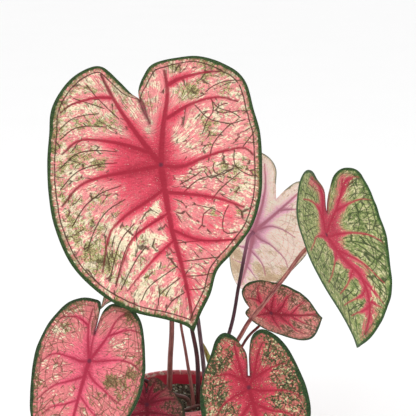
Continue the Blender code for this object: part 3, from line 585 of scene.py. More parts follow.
def blade_threads(leaf, veins):
    """The thin side veins as lines in the flat blade: those given, and others between neighbouring veins."""
    draw = random.Random(int(leaf["length"]))
    given = leaf["threads"].split(";") if "threads" in leaf else []
    threads = [spaced(curve_through(rows(points), 6), MESH_SPACING) for points in given]
    for side in (-1,) if given else (-1, 1):
        lines = [line for start, end, line in veins[1:] if side * line[-1, 0] > 0]
        lines.sort(key=end_bearing)
        for first, second in zip(lines, lines[1:]):
            first, second = resampled(first, 12), resampled(second, 12)
            widest = np.linalg.norm(first[-1] - second[-1])
            if widest < 12.0:
                continue
            shares = (0.5,) if widest < 26.0 else (0.34, 0.67)
            for share in shares:
                lean = draw.uniform(-0.08, 0.08)
                places = [(u, share + lean * u) for u in (0.40, 0.6, 0.8, 1.02)]
                threads.append(between(first, second, places))
            if given:
                continue
            for along in (0.62, 0.80, 0.98) if widest > 16.0 else (0.9,):
                along += draw.uniform(-0.05, 0.05)
                places = [(along - 0.04, 0.02), (along + draw.uniform(0.0, 0.1), 0.3),
                          (along + draw.uniform(0.0, 0.1), 0.7), (along - 0.04, 0.98)]
                threads.append(between(first, second, places))
    return threads


def between(first, second, places):
    """A smooth line through places between two lines, each given as how far along and across (0 to 1)."""
    points = []
    for along, across in places:
        whole = min(max(along, 0.0), 1.0)
        index = whole * (len(first) - 1)
        low = min(int(index), len(first) - 2)
        a = first[low] + (first[low + 1] - first[low]) * (index - low)
        b = second[low] + (second[low + 1] - second[low]) * (index - low)
        outer = (first[-1] - first[-2] + second[-1] - second[-2]) * 0.5 * (len(first) - 1) * (along - whole)
        points.append(a + (b - a) * across + outer)
    return spaced(curve_through(points, 6), MESH_SPACING)


def near_lines(points, lines):
    """For each point its distance to the nearest line, that line's number, and how far along it lies (0 to 1)."""
    best = np.full(len(points), 1e9)
    which = np.zeros(len(points), int)
    along = np.zeros(len(points))
    for number, line in enumerate(lines):
        before = path_length(line)
        for n, (a, b) in enumerate(zip(line, line[1:])):
            step = b - a
            u = np.clip(((points - a) @ step) / max(float(step @ step), 1e-9), 0.0, 1.0)
            distance = np.linalg.norm(points - (a + u[:, None] * step), axis=1)
            closer = distance < best
            best[closer] = distance[closer]
            which[closer] = number
            along[closer] = (before[n] + u[closer] * (before[n + 1] - before[n])) / before[-1]
    return best, which, along


def is_costa(line):
    """Whether a vein is the main one of a lobe, from which side veins leave as they do from the midrib."""
    return np.hypot(*line[0]) < 8.0 and end_bearing(line) > 145.0


def grain_across(leaf, flat, faces, veins):
    """A coordinate (mm) that keeps its value along each side vein and passes evenly from one to the next."""
    held = np.full(len(flat), np.nan)
    lines = [line for start, end, line in veins]
    for side in (-1, 1):
        held[near_lines(flat, [outline_side(leaf, side)[:24]])[0] < 0.6] = NOTCH_BEARING
    for number, line in enumerate(lines):
        from_line, which, along = near_lines(flat, [line])
        if number == 0 or is_costa(line):
            on_line = (from_line < 0.05) & (along > 0.75)
        else:
            on_line = (from_line < 0.05) & (along > 0.12)
        held[on_line] = 0.0 if number == 0 else end_bearing(line)
    edges = np.unique(np.sort(triangle_edges(faces), axis=1), axis=0)
    balance = np.zeros((len(flat), len(flat)))
    for a, b in ((0, 1), (1, 0)):
        np.add.at(balance, (edges[:, a], edges[:, a]), 1.0)
        np.add.at(balance, (edges[:, a], edges[:, b]), -1.0)
    fixed = ~np.isnan(held)
    balance[fixed] = 0.0
    balance[fixed, fixed] = 1.0
    bearings = np.linalg.solve(balance, np.where(fixed, held, 0.0))
    return np.radians(bearings) * 0.62 * leaf["length"]


def blade_axes(leaf):
    """The blade's own directions: to its right, towards its lobes, and out of its upper face."""
    heading, lift, roll = (math.radians(leaf[key]) for key in ("heading", "lift", "roll"))
    across = np.array([math.cos(heading), math.sin(heading), 0.0])
    up = np.array([-math.sin(heading) * math.sin(lift), math.cos(heading) * math.sin(lift), math.cos(lift)])
    normal = np.cross(across, up)
    right = across * math.cos(roll) + up * math.sin(roll)
    lobes = up * math.cos(roll) - across * math.sin(roll)
    return right, lobes, normal


def arc(distance, degrees, length):
    """Where a strip that turns through some degrees over a length has got to: along, down, and its turn."""
    rate = math.radians(degrees) / length
    if abs(rate) < 1e-9:
        return distance, 0 * distance, 0 * distance
    turn = distance * rate
    return np.sin(turn) / rate, (1 - np.cos(turn)) / rate, turn


def blade_points(leaf, flat, height):
    """Flat blade points and their height, folded along the midrib, drooped and set in place (all mm)."""
    x, y = flat[:, 0], flat[:, 1]
    fold = np.radians(np.where(x < 0, leaf["fold"][0], leaf["fold"][1]))
    rounded = np.sqrt(x * x + FOLD_SOFTNESS ** 2) - FOLD_SOFTNESS
    across = np.sign(x) * (np.abs(x) - rounded * (1 - np.cos(fold)))
    out = rounded * np.sin(fold) + height
    to_tip = y < 0
    tip_along, tip_down, tip_turn = arc(np.maximum(-y, 0), leaf["droop"], leaf["length"])
    lobe_along, lobe_down, lobe_turn = arc(np.maximum(y, 0), leaf["lobe_droop"], 0.6 * leaf["length"])
    along = np.where(to_tip, -tip_along, lobe_along)
    down = np.where(to_tip, tip_down, lobe_down)
    turn = np.where(to_tip, -tip_turn, lobe_turn)
    up_distance = along + np.sin(turn) * out
    out_distance = np.cos(turn) * out - down
    swept_share = np.where(to_tip, (y / leaf["length"]) ** 2, 0.0)
    sideways = across + leaf.get("sweep", 0.0) * swept_share * leaf["length"]
    right, lobes, normal = blade_axes(leaf)
    placed = np.asarray(leaf["junction"]) + np.outer(sideways, right)
    return placed + np.outer(up_distance, lobes) + np.outer(out_distance, normal)


def blade_layout(leaf, lines):
    """Flat points and triangles that follow the margin and every vein."""
    outline = blade_outline(leaf, EDGE_SPACING)
    closed = np.vstack([outline, outline[:1]])
    points = [tuple(point) for point in outline]
    border = list(range(len(points)))
    edges = []
    for line in lines:
        kept = line[inside(outline, line) & (near_lines(line, [closed])[0] > 0.35 * MESH_SPACING)]
        first = len(points)
        points += [tuple(point) for point in kept]
        edges += [(first + n, first + n + 1) for n in range(len(kept) - 1)]
    low, high = outline.min(axis=0), outline.max(axis=0)
    row_step = MESH_SPACING * 0.866
    grid = np.array([(low[0] + (column + 0.5 * (row % 2)) * MESH_SPACING, low[1] + row * row_step)
                     for row in range(int((high[1] - low[1]) / row_step) + 1)
                     for column in range(int((high[0] - low[0]) / MESH_SPACING) + 2)])
    room = 0.55 * MESH_SPACING
    clear = inside(outline, grid)
    for near in ([closed], lines):
        clear &= near_lines(grid, near)[0] > room
    points += [tuple(point) for point in grid[clear]]
    result = delaunay_2d_cdt([Vector(point) for point in points], edges, [border], 1, 1e-4)
    return np.array([tuple(point) for point in result[0]]), np.array([tuple(face) for face in result[2]])


def triangle_edges(faces):
    return np.concatenate([faces[:, [0, 1]], faces[:, [1, 2]], faces[:, [2, 0]]])


def split_triangles(points, faces):
    """Each triangle parted into four at the middles of its edges."""
    edges = np.sort(triangle_edges(faces), axis=1)
    unique, where = np.unique(edges, axis=0, return_inverse=True)
    middles = len(points) + where.reshape(3, -1)
    points = np.vstack([points, 0.5 * (points[unique[:, 0]] + points[unique[:, 1]])])
    a, b, c = faces.T
    ab, bc, ca = middles
    faces = np.concatenate([np.stack(corner, axis=1) for corner in
                            ((a, ab, ca), (ab, b, bc), (ca, bc, c), (ab, bc, ca))])
    return points, faces


def point_normals(points, faces):
    a, b, c = (points[faces[:, corner]] for corner in (0, 1, 2))
    face_normals = np.cross(b - a, c - a)
    normals = np.zeros_like(points)
    for corner in (0, 1, 2):
        np.add.at(normals, faces[:, corner], face_normals)
    return normals / np.linalg.norm(normals, axis=1, keepdims=True)


def border_edges(faces):
    """The directed edges that only one triangle has."""
    edges = triangle_edges(faces)
    unique, index, count = np.unique(np.sort(edges, axis=1), axis=0, return_index=True, return_counts=True)
    return edges[index[count == 1]]


def add_piece(name, points, faces, finish, node, attributes=None):
    """A mesh piece (points in metres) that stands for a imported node."""
    mesh = bpy.data.meshes.new(name)
    mesh.from_pydata([tuple(point) for point in points], [], [tuple(face) for face in faces])
    for attribute, values in (attributes or {}).items():
        values = np.asarray(values, np.float32)
        kind, field = ("FLOAT_VECTOR", "vector") if values.ndim == 2 else ("FLOAT", "value")
        mesh.attributes.new(attribute, kind, "POINT").data.foreach_set(field, values.ravel())
    mesh.materials.append(finish.material)
    mesh.shade_smooth()
    mesh.update()
    piece = bpy.data.objects.new(name, mesh)
    bpy.context.scene.collection.objects.link(piece)
    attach(piece, "root")
    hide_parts(node)
    return piece


def step_between(value, low, high):
    u = np.clip((value - low) / (high - low), 0.0, 1.0)
    return u * u * (3 - 2 * u)


def close_to(distance, width):
    """1 on a line, fading to 0 over about the width."""
    return np.exp(-(distance / width) ** 2)


def make_blade(name, leaf):
    veins = blade_veins(leaf)
    threads = blade_threads(leaf, veins)
    vein_lines = [line for start, end, line in veins]
    flat, faces = blade_layout(leaf, vein_lines + threads)
    laid = np.column_stack([flat, grain_across(leaf, flat, faces, veins)])
    for round_number in range(2):
        laid, faces = split_triangles(laid, faces)
    flat, across = laid[:, :2], laid[:, 2]
    count = len(flat)
    outline = blade_outline(leaf, EDGE_SPACING)
    from_margin = near_lines(flat, [np.vstack([outline, outline[:1]])])[0]
    from_vein, which, along = near_lines(flat, vein_lines)
    from_thread = near_lines(flat, threads)[0]
    widths = np.array([(start, end) for start, end, line in veins])
    width = widths[which, 0] + (widths[which, 1] - widths[which, 0]) * along
    reach = np.hypot(flat[:, 0], flat[:, 1])
    bearing = np.arctan2(flat[:, 0], -flat[:, 1])

    away = np.clip(reach / (0.5 * leaf["length"]), 0.0, 1.0) ** 2
    height = leaf["bulge"] * (1.0 - close_to(from_vein, CREASE_WIDTH))
    height += leaf["wave"] * np.sin(leaf["waves"] * bearing + leaf["length"]) \
        * close_to(from_margin, MARGIN_WAVE_WIDTH) * away
    height += THREAD_SWELL * (1.0 - close_to(from_thread, 4.0))
    middle = blade_points(leaf, flat, height)
    normals = point_normals(middle, faces)
    if normals.sum(axis=0) @ blade_axes(leaf)[2] < 0:
        faces = faces[:, ::-1]
        normals = -normals
    thickness_share = RIM_THICKNESS_SHARE + (1.0 - RIM_THICKNESS_SHARE) * step_between(from_margin, 0.0, RIM_WIDTH)
    half = 0.5 * BLADE_THICKNESS * thickness_share
    on_thread = close_to(from_thread, THREAD_WIDTH)
    groove = VEIN_GROOVE * close_to(from_vein, 0.45 * width + 0.3) + THREAD_GROOVE * on_thread
    rib = VEIN_RIB_SHARE * width * close_to(from_vein, 0.5 * width) + THREAD_RIB * on_thread
    clear = step_between(from_margin, 0.5, 4.0)
    top = middle + normals * (half - groove * clear)[:, None]
    bottom = middle - normals * (half + rib * clear)[:, None]
    rim_faces = [(b, a, a + count, b + count) for a, b in border_edges(faces)]
    all_faces = [*map(tuple, faces), *map(tuple, faces[:, ::-1] + count), *rim_faces]

    # What the finish needs to know of each point
    fade = 1.0 - 0.8 * along ** 1.2
    places = np.zeros((count, 3))
    for x, y, radius, *changes in rows(PATCHES[name]) if name in PATCHES else ():
        near = np.exp(-((flat[:, 0] - x) ** 2 + (flat[:, 1] - y) ** 2) / radius ** 2)
        places += np.outer(near, changes)
    sinus_low, sinus_high = leaf.get("sinus", (0.30 * leaf["length"], 0.55 * leaf["length"]))
    in_sinus = (1 - step_between(reach, sinus_low, sinus_high)) * step_between(flat[:, 1], 0, 8)
    spine = vein_lines[0]
    from_spine = near_lines(flat, [spine] + [line for line in vein_lines[1:] if is_costa(line)])[0]
    spine_x = np.interp(-flat[:, 1], -spine[:, 1], spine[:, 0])
    face_attributes = {
        "plan": np.column_stack([flat, np.zeros(count)]),
        "grain": np.stack([from_spine, across, np.sign(flat[:, 0] - spine_x) * SIDES_APART], axis=1),
        "lines": np.stack([from_vein - 0.5 * width, from_thread, from_margin + 9.0 * in_sinus], axis=1),
        "places": places,
        "halo": fade * close_to(np.maximum(from_vein - 0.5 * width, 0), 1.2 + 1.1 * width),
        # painted shadow along the notch's edges, where one lobe lies over the other
        "tuck": in_sinus * close_to(from_margin, 2.0),
    }
    attributes = {key: np.concatenate([values, values]) for key, values in face_attributes.items()}
    attributes["underside"] = np.concatenate([np.zeros(count), np.ones(count)])
    piece = add_piece("leaf_" + name, np.vstack([top, bottom]) * MM, all_faces, leaf_finish(name, LOOKS[name]),
                      "blade_" + name, attributes)
    piece.data.set_sharp_from_angle(angle=math.radians(55))
    return piece


def leaf_finish(name, look):
    """A thin leaf: pale and green flecks and a dark net, rose near the veins, and a green margin."""
    f = Finish("leaf_" + name)
    plan, grain = f.attribute("plan"), f.attribute("grain")
    from_spine = f.parts(grain)[0]
    from_vein, from_thread, from_margin = f.parts(f.attribute("lines"))
    pale_place, green_place, rose_place = f.parts(f.attribute("places"))
    halo, tuck, underside = (f.attribute(layer, "Fac") for layer in ("halo", "tuck", "underside"))
    reach = f.node("ShaderNodeVectorMath", {"operation": "LENGTH"}, {0: plan}, "Value")

    def limit(value, key, low, high):
        """A smooth step whose two ends lie at the look's own limit plus low and plus high."""
        return f.smooth(value, look[key] + low, look[key] + high)

    # Unevenness in the plane of the blade, along its side veins, and in small cells
    broad = f.noise(plan, 0.06, 3.0, 0.6)
    broad_green = f.noise(f.shift(plan, (310.0, 40.0, 5.0)), 0.07, 3.0, 0.6)
    patchy = f.noise(f.shift(plan, (90.0, 410.0, 8.0)), 0.16, 2.0, 0.5)
    speckle = f.noise(plan, 0.9, 2.0, 0.6)
    grit = f.noise(f.shift(plan, (50.0, 210.0, 3.0)), 0.55, 1.0, 0.5)
    bent = f.warp(grain, 0.09, 2.0)
    streaks = f.noise(f.stretch(bent, (0.11, 0.50, 1.0)), 1.0, 3.0, 0.65)
    long_streaks = f.noise(f.stretch(bent, (0.08, 0.30, 6.0)), 1.0, 2.0, 0.6)
    fine_streaks = f.noise(f.stretch(bent, (0.24, 0.90, 3.0)), 1.0, 3.0, 0.6)
    fleck_space = f.warp(plan, 0.35, 1.4)
    fleck_one, fleck_two = f.parts(f.cells(fleck_space, look["fleck"]))[:2]
    fleck_edge = f.cell_edges(fleck_space, look["fleck"])
    net_space = f.warp(f.warp(f.stretch(grain, (0.55, 1.0, 1.0)), 0.06, 8.0), 0.20, 2.0)
    net_edge = f.cell_edges(net_space, look["cell"])
    small_edge = f.cell_edges(net_space, look["cell"] * 2.3)

    # Rose near the middle and the veins
    outward = f.smooth(reach, 0.5 * look["zone"], 2.4 * look["zone"])
    near_centre = f.smooth(reach, look["zone"], 0.1 * look["zone"])
    near_spine = f.smooth(from_spine, look["spine_width"], 0.1 * look["spine_width"])
    rosiness = halo * 0.8 + near_centre * 0.65 + near_spine * look["spine_rose"] + rose_place \
        + (streaks - 0.5) * 1.3 + (broad - 0.5) * 0.9 + (grit - 0.5) * 0.5
    rosy = limit(rosiness, "rose_from", 0.0, look["rose_range"])
    f.colour = look["pink"]
    f.paint(rosy, look["rose"])
    f.paint(limit(rosiness + (fine_streaks - 0.5) * 2.0, "rose_from", 0.45, 1.4) * 0.75, look["vein"])

    # Cream and green flecks between the veins, and painted glints of highlight
    paleness = pale_place + (fine_streaks - 0.5) * 1.5 + (fleck_one - 0.5) * look["mosaic"] \
        + (patchy - 0.5) * 1.3 + (long_streaks - 0.5) * 1.6 - (broad - 0.5) * 1.0 + (grit - 0.5) * 0.4 \
        + outward * 0.12 - rosy * 0.35 - halo * 0.3
    f.paint(limit(paleness, "pale_from", 0.0, 0.34) * 0.92, look["cream"])
    greenness = green_place + (fleck_two - 0.5) * look["mosaic"] + (broad_green - 0.5) * 1.8 \
        + (grit - 0.5) * 0.6 + (fine_streaks - 0.5) * 0.8 + outward * 0.10 - rosy * 0.45 - halo * 0.3
    f.paint(limit(greenness, "green_from", 0.0, 0.26) * 0.85, look["green"])
    # Painted highlight: pale glints laid into the colour where the fine streaks run brightest
    painted_glint = f.smooth(fine_streaks + (speckle - 0.5) * 0.7 + pale_place * 0.15, 0.64, 0.80)
    f.paint(painted_glint * look["painted_glint"], look["light"])

    # Dark hairs, mottle and net, only away from the rose
    open_field = 1.0 - limit(rosiness, "rose_from", 0.10, 0.6)
    hair = f.smooth(fine_streaks + (streaks - 0.5) * 0.5, 0.43, 0.34)
    f.paint(hair * open_field * 0.50, look["net"])
    mottle = limit(greenness + (speckle - 0.5) * 2.6, "green_from", 0.22, 0.46)
    f.paint(mottle * look["mottle"], look["net"])
    patchy_green = greenness + (patchy - 0.5)
    fleck_gap = f.smooth(fleck_edge, 0.15, 0.03) * limit(patchy_green, "green_from", -0.2, 0.15)
    f.paint(fleck_gap * open_field * (0.6 * look["net_strength"]), look["net"])
    small_net = f.smooth(small_edge, 0.09, 0.03) * limit(patchy_green, "green_from", -0.25, 0.10)
    f.paint(small_net * open_field * (0.65 * look["net_strength"]), look["net"])
    net = f.smooth(net_edge, look["net_width"], 0.4 * look["net_width"]) \
        * (1.0 - limit(rosiness, "rose_from", 0.30, 0.9)) \
        * limit(patchy * 0.5 + broad_green * 0.5, "net_from", 0.0, 0.08)
    f.paint(net * look["net_strength"], look["net"])
    # Painted light and shade: the colour made brighter and darker over the blade, for its soft puckering (broad),
    # with a grainy tone of its own (grit, speckle)
    shade = 1.0 + (grit - 0.5) * look["grit"] + (speckle - 0.5) * (0.8 * look["grit"]) + (broad - 0.5) * 0.5
    f.colour = f.node("ShaderNodeVectorMath", {"operation": "SCALE"}, {0: f.colour, 3: shade})

    # Thin side veins, then the main ones, darker away from the rose
    wobble = (f.noise(plan, 0.5, 1.0) - 0.5) * 0.9
    thread_tone = f.mix(limit(rosiness, "rose_from", 0.0, 0.8), look["net"], look["vein"])
    thread = f.smooth(from_thread + wobble * 0.6, look["thread_width"], 0.3 * look["thread_width"])
    f.paint(thread * look["thread"], thread_tone)
    vein_tone = f.smooth(halo + near_centre * 0.5 + rose_place * 0.5, 0.08, 0.55)
    vein = f.smooth(from_vein + wobble + (streaks - 0.5) * 1.2, 1.2, -0.9)
    f.paint(vein * 0.93, f.mix(vein_tone, look["outer_vein"], look["vein"]))

    # The margin: a mottled band, a thin dark line inside it, the green rim and its dark edge
    uneven = (f.noise(plan, 0.10, 2.0) - 0.5) * 3.0
    wide = look["margin_width"] + look["band_width"]
    near_margin = from_margin + uneven - green_place * 3.0 + (speckle - 0.5) * 2.0
    band = f.smooth(near_margin, wide + 0.8, look["margin_width"])
    mottled = f.mix(f.smooth(fine_streaks + (speckle - 0.5), 0.42, 0.60), look["band"], look["margin"])
    f.paint(band * f.smooth(fleck_two + speckle, 0.60, 1.0) * 0.85, mottled)
    ring = from_margin + uneven * 0.5 - wide
    ring_gate = f.smooth(patchy + broad_green * 0.5, 0.44, 0.56)
    f.paint(f.smooth(ring * ring, 0.90, 0.12) * look["ring"] * ring_gate, look["net"])
    deep_margin = (*(0.40 * part for part in look["margin"][:3]), 1.0)
    rim_tone = f.mix(f.smooth(speckle + (grit - 0.5), 0.36, 0.60), look["margin"], deep_margin)
    f.paint(limit(near_margin, "margin_width", 0.8, -0.6), rim_tone)
    f.paint(f.smooth(from_margin, 1.3, 0.4) * 0.85, deep_margin)

    # The painted shadow along the notch, the junction and the underside
    f.paint(tuck * 0.9, look["tuck"])
    f.paint(f.smooth(reach, 3.4, 1.0) * 0.75, look["navel"])
    f.paint(underside * look["under_share"], look["under"])
    f.feed("Base Color", f.colour)
    f.feed("Roughness", 0.42 + streaks * 0.22)
    f.feed("Specular IOR Level", 0.22)
    # Painted glow: the leaf gives off its own colour as light, standing in for light coming through it and lifting
    # it out of shade
    if look["through"]:
        f.feed("Emission Color", f.colour)
        f.feed("Emission Strength", look["through"])
    relief = streaks * 0.8 + fine_streaks * 0.6 + grit * 0.4 + f.smooth(net_edge, 0.0, 0.10) * 0.8
    f.bump(relief, 0.45, 0.0008)
    return f


def stalk_finish(name):
    f = Finish("stalk_" + name)
    f.colour, streak, foot, near_blade = (seen(*row) for row in rows(STALKS[name]["colours"]))
    run = f.attribute("run")
    above_soil, below_blade = f.attribute("above_soil", "Fac"), f.attribute("below_blade", "Fac")
    lines = f.noise(f.stretch(run, (1.6, 1.6, 0.03)), 1.0, 3.0, 0.6)
    blotches = f.noise(f.stretch(run, (0.5, 0.5, 0.12)), 1.0, 2.0)
    f.paint(f.smooth(lines + (blotches - 0.5) * 0.6, 0.42, 0.60), streak)
    f.paint(f.smooth(above_soil + (lines - 0.5) * 20.0, 26.0, 6.0) * 0.8, foot)
    f.paint(f.smooth(below_blade + (lines - 0.5) * 10.0, 50.0, 8.0) * 0.9, near_blade)
    f.feed("Base Color", f.colour)
    f.feed("Roughness", 0.36 + lines * 0.2)
    f.bump(lines, 0.25, 0.0004)
    return f


def stalk_path(leaf, stalk):
    """From inside its hole in the soil, straight up, then over to the back of the blade's junction (mm)."""
    normal = blade_axes(leaf)[2]
    junction = np.asarray(leaf["junction"], float)
    end = junction - normal * 0.5 * BLADE_THICKNESS
    neck = end - normal * 1.5
    approach = junction - normal * stalk.get("approach", 11.0)
    foot = np.array((*stalk["foot"], SOIL_TOP / MM + 2.0))
    rise = curve_through([foot] + rows(stalk["route"]) + [approach, neck], 12, (0, 0, 1), normal)
    bottom = foot - np.array((0, 0, STALK_DEPTH / MM + 2.0))
    return np.vstack([bottom, rise, end])


def swept(path, sides, radius_at):
    """A closed tube along the path; radius_at gives each ring's radii from how far along it is and its angles."""
    tangents = np.gradient(path, axis=0)
    tangents /= np.linalg.norm(tangents, axis=1, keepdims=True)
    side = np.cross(tangents[0], (0.0, 1.0, 0.0))
    angles = np.linspace(0, 2 * math.pi, sides, endpoint=False)
    round_x, round_y = np.cos(angles), np.sin(angles)
    rings, runs = [], []
    along = path_length(path)
    for place, tangent, distance in zip(path, tangents, along):
        side = side - tangent * (side @ tangent)
        side /= np.linalg.norm(side)
        other = np.cross(tangent, side)
        radius = radius_at(distance, angles)
        rings.append(place + np.outer(round_x * radius, side) + np.outer(round_y * radius, other))
        runs.append(np.stack([2.2 * round_x, 2.2 * round_y, np.full(sides, distance)], axis=1))
    points = np.vstack(rings + [path[:1], path[-1:]])
    runs = np.vstack(runs + [[(0, 0, 0)], [(0, 0, along[-1])]])
    faces = []
    for first in range(0, (len(path) - 1) * sides, sides):
        for n in range(sides):
            m = (n + 1) % sides
            faces.append((first + n, first + m, first + sides + m, first + sides + n))
    last = (len(path) - 1) * sides
    bottom, top = len(points) - 2, len(points) - 1
    for n in range(sides):
        m = (n + 1) % sides
        faces.append((bottom, m, n))
        faces.append((top, last + n, last + m))
    return points, faces, runs


def make_stalk(name, leaf, stalk):
    path = spaced(stalk_path(leaf, stalk), STALK_STEP)
    total = path_length(path)[-1]
    foot_radius, end_radius = stalk["radii"]
    soil_at = STALK_DEPTH / MM

    def radius_at(distance, angles):
        share = distance / total
        body = foot_radius + (end_radius - foot_radius) * min(share / 0.6, 1.0) ** 0.7
        body += 0.30 * end_radius * max((share - 0.95) / 0.05, 0.0) ** 2
        sheath = np.clip(1 - (distance - soil_at) / SHEATH_LENGTH, 0, 1) * min(distance / soil_at, 1.0)
        from_groove = angles - 1.2
        groove = 0.10 * close_to(np.abs(from_groove) - 0.6, 0.25) - 0.28 * close_to(from_groove, 0.30)
        return body * (1.0 + sheath * groove + 0.025 * np.cos(6 * angles))

    points, faces, runs = swept(path, STALK_SIDES, radius_at)
    above_soil = points[:, 2] - SOIL_TOP / MM
    below_blade = np.where(np.arange(len(points)) == len(points) - 2, total, total - runs[:, 2])
    return add_piece("leaf_stalk_" + name, points * MM, faces, stalk_finish(name), "stalk_" + name,
                     {"run": runs, "above_soil": above_soil, "below_blade": below_blade})


def make_young_leaf():
    foot = np.array((*YOUNG_LEAF["foot"], SOIL_TOP / MM + 2.0))
    route, end = rows(YOUNG_LEAF["route"]), np.asarray(YOUNG_LEAF["end"], float)
    lean = (end - route[-1]) / np.linalg.norm(end - route[-1])
    rise = curve_through([foot] + route + [end], 16, (0, 0, 1), lean)
    path = spaced(np.vstack([foot - np.array((0, 0, STALK_DEPTH / MM + 2.0)), rise]), 1.2)
    total = path_length(path)[-1]

    def radius_at(distance, angles):
        share = distance / total
        body = float(np.interp(share, (0.0, 0.35, 0.5, 0.72, 0.9, 1.0), (2.2, 2.0, 2.2, 3.2, 1.9, 0.4)))
        rolled = float(np.interp(share, (0.4, 0.55, 1.0), (0.0, 1.0, 1.0)))
        turn = (angles - 1.1 - 1.6 * share) % (2 * math.pi)
        lap = 0.10 - 0.22 * turn / (2 * math.pi)
        return body * (1.0 + rolled * lap)

    points, faces, runs = swept(path, 40, radius_at)
    f = Finish("young_leaf")
    run = f.attribute("run")
    lines = f.noise(f.stretch(run, (1.4, 1.4, 0.05)), 1.0, 3.0)
    climb = f.parts(run)[2]
    skin = f.mix(f.smooth(lines, 0.4, 0.62), seen(200, 222, 110), seen(160, 194, 84))
    f.colour = f.mix(f.smooth(climb, 24.0, 44.0), seen(150, 112, 84), skin)
    f.paint(f.smooth(lines + climb * 0.004, 0.72, 0.86) * 0.6, seen(214, 132, 120))
    f.feed("Base Color", f.colour)
    f.feed("Roughness", 0.42)
    f.bump(lines, 0.3, 0.0004)
    return add_piece("rolled_leaf", points * MM, faces, f, "young_leaf", {"run": runs})


def nine_between(start, end):
    return [tuple(np.array(start) + (np.array(end) - start) * share) for share in np.linspace(0.1, 0.9, 9)]


def pot_profile():
    """Half section of the pot, from the middle of its floor over the rim to the middle of its base."""
    foot_radius, foot_height = INNER_FOOT
    top_radius, top_height = INNER_TOP
    lip_radius = LIP_HEIGHT / 2
    under_lip = (BASE_RADIUS + OUTER_SLOPE * (POT_HEIGHT - LIP_HEIGHT), POT_HEIGHT - LIP_HEIGHT - 0.0002)
    low = (BASE_RADIUS + OUTER_SLOPE * FOOT_HEIGHT, FOOT_HEIGHT)
    profile = [(0.0, FLOOR), (0.5 * foot_radius, FLOOR), (foot_radius - FLOOR_ROUNDING, FLOOR), INNER_FOOT]
    profile += nine_between(INNER_FOOT, INNER_TOP)
    profile += [INNER_TOP, (top_radius + 0.0002, POT_HEIGHT - 0.0009), (top_radius + 0.0006, POT_HEIGHT - 0.0003)]
    for degrees in range(90, -100, -10):
        angle = math.radians(degrees)
        profile.append((RIM_RADIUS - lip_radius + lip_radius * math.cos(angle),
                        POT_HEIGHT - lip_radius + lip_radius * math.sin(angle)))
    profile += [under_lip, *nine_between(under_lip, low), low]
    profile += [(BASE_RADIUS - 0.0003, 0.0005), (BASE_RADIUS - 0.0012, 0.0), (0.5 * BASE_RADIUS, 0.0), (0.0, 0.0)]
    return profile


def inner_wall_radius(height):
    share = (height - INNER_FOOT[1]) / (INNER_TOP[1] - INNER_FOOT[1])
    return INNER_FOOT[0] + share * (INNER_TOP[0] - INNER_FOOT[0])


def turned(profile, sides):
    """Points and faces of a profile turned about the upright axis; it starts and ends on the axis."""
    rings = profile[1:-1]
    points = [(0.0, 0.0, profile[0][1])]
    for radius, height in rings:
        for n in range(sides):
            angle = 2 * math.pi * n / sides
            points.append((radius * math.cos(angle), radius * math.sin(angle), height))
    points.append((0.0, 0.0, profile[-1][1]))
    faces = []
    for n in range(sides):
        m = (n + 1) % sides
        faces.append((0, 1 + n, 1 + m))
        for ring in range(len(rings) - 1):
            first = 1 + ring * sides
            faces.append((first + n, first + sides + n, first + sides + m, first + m))
        last = 1 + (len(rings) - 1) * sides
        faces.append((last + n, len(points) - 1, last + m))
    return points, faces


def make_pot():
    points, faces = turned(pot_profile(), 144)
    pot = add_piece("plant_pot", points, faces, pot_finish(), "pot")
    for hole in range(DRAIN_COUNT):
        angle = 2 * math.pi * (hole + 0.5) / DRAIN_COUNT
        drill_profile = [(0.0, -0.01), (DRAIN_RADIUS, -0.01), (DRAIN_RADIUS, 0.01), (0.0, 0.01)]
        drill_points, drill_faces = turned(drill_profile, 32)
        drill_mesh = bpy.data.meshes.new("drill")
        drill_mesh.from_pydata(drill_points, [], [face[::-1] for face in drill_faces])
        drill = bpy.data.objects.new("drill", drill_mesh)
        drill.location = (DRAIN_CIRCLE * math.cos(angle), DRAIN_CIRCLE * math.sin(angle), 0.0)
        bpy.context.scene.collection.objects.link(drill)
        cut = pot.modifiers.new("drain", "BOOLEAN")
        cut.operation = "DIFFERENCE"
        cut.solver = "EXACT"
        cut.object = drill
        evaluated = pot.evaluated_get(bpy.context.evaluated_depsgraph_get())
        bored = bpy.data.meshes.new_from_object(evaluated)
        pot.modifiers.clear()
        pot.data = bored
        bpy.data.objects.remove(drill, do_unlink=True)
    pot.data.shade_smooth()
    pot.data.set_sharp_from_angle(angle=math.radians(50))
    return pot


def pot_finish():
    f = Finish("pot_plastic")
    place = f.node("ShaderNodeTexCoord", output="Object")
    height = f.parts(place)[2]
    cloud = f.noise(place, 22.0, 3.0)
    specks = f.noise(place, 420.0, 2.0, 0.6)
    dust = f.noise(place, 150.0, 3.0, 0.6)
    lip = f.smooth(height, POT_HEIGHT - 0.0050, POT_HEIGHT - 0.0025)
    low = f.smooth(height + (cloud - 0.5) * 0.02, 0.016, 0.002)
    f.colour = seen(214, 40, 70)
    f.paint(f.smooth(cloud, 0.35, 0.65), seen(224, 58, 86))
    # Painted highlight: the lip made paler pink along the rolled rim; pale dust then lies on it
    f.paint(lip * 0.75, seen(228, 140, 142))
    f.paint(lip * f.smooth(dust, 0.54, 0.62), seen(244, 222, 206))
    f.paint(f.smooth(specks + lip * 0.05, 0.66, 0.72) * 0.8, seen(96, 62, 44))
    f.paint(low * 0.35, seen(150, 110, 92))
    f.feed("Base Color", f.colour)
    f.feed("Roughness", 0.34 + cloud * 0.12 + low * 0.2 + lip * 0.05)
    f.bump(cloud * 0.6 + specks * 0.15, 0.15, 0.0004)
    return f


def soil_swell(x, y, edge):
    """How far the soil swells at a place; nothing at the pot's wall."""
    broad = noise.noise(Vector((x, y, 0.0)) * 55.0) + 0.6 * noise.noise(Vector((x, y, 0.5)) * 120.0)
    return SWELL * broad * (1.0 - (math.hypot(x, y) / (edge + 0.0005)) ** 6)


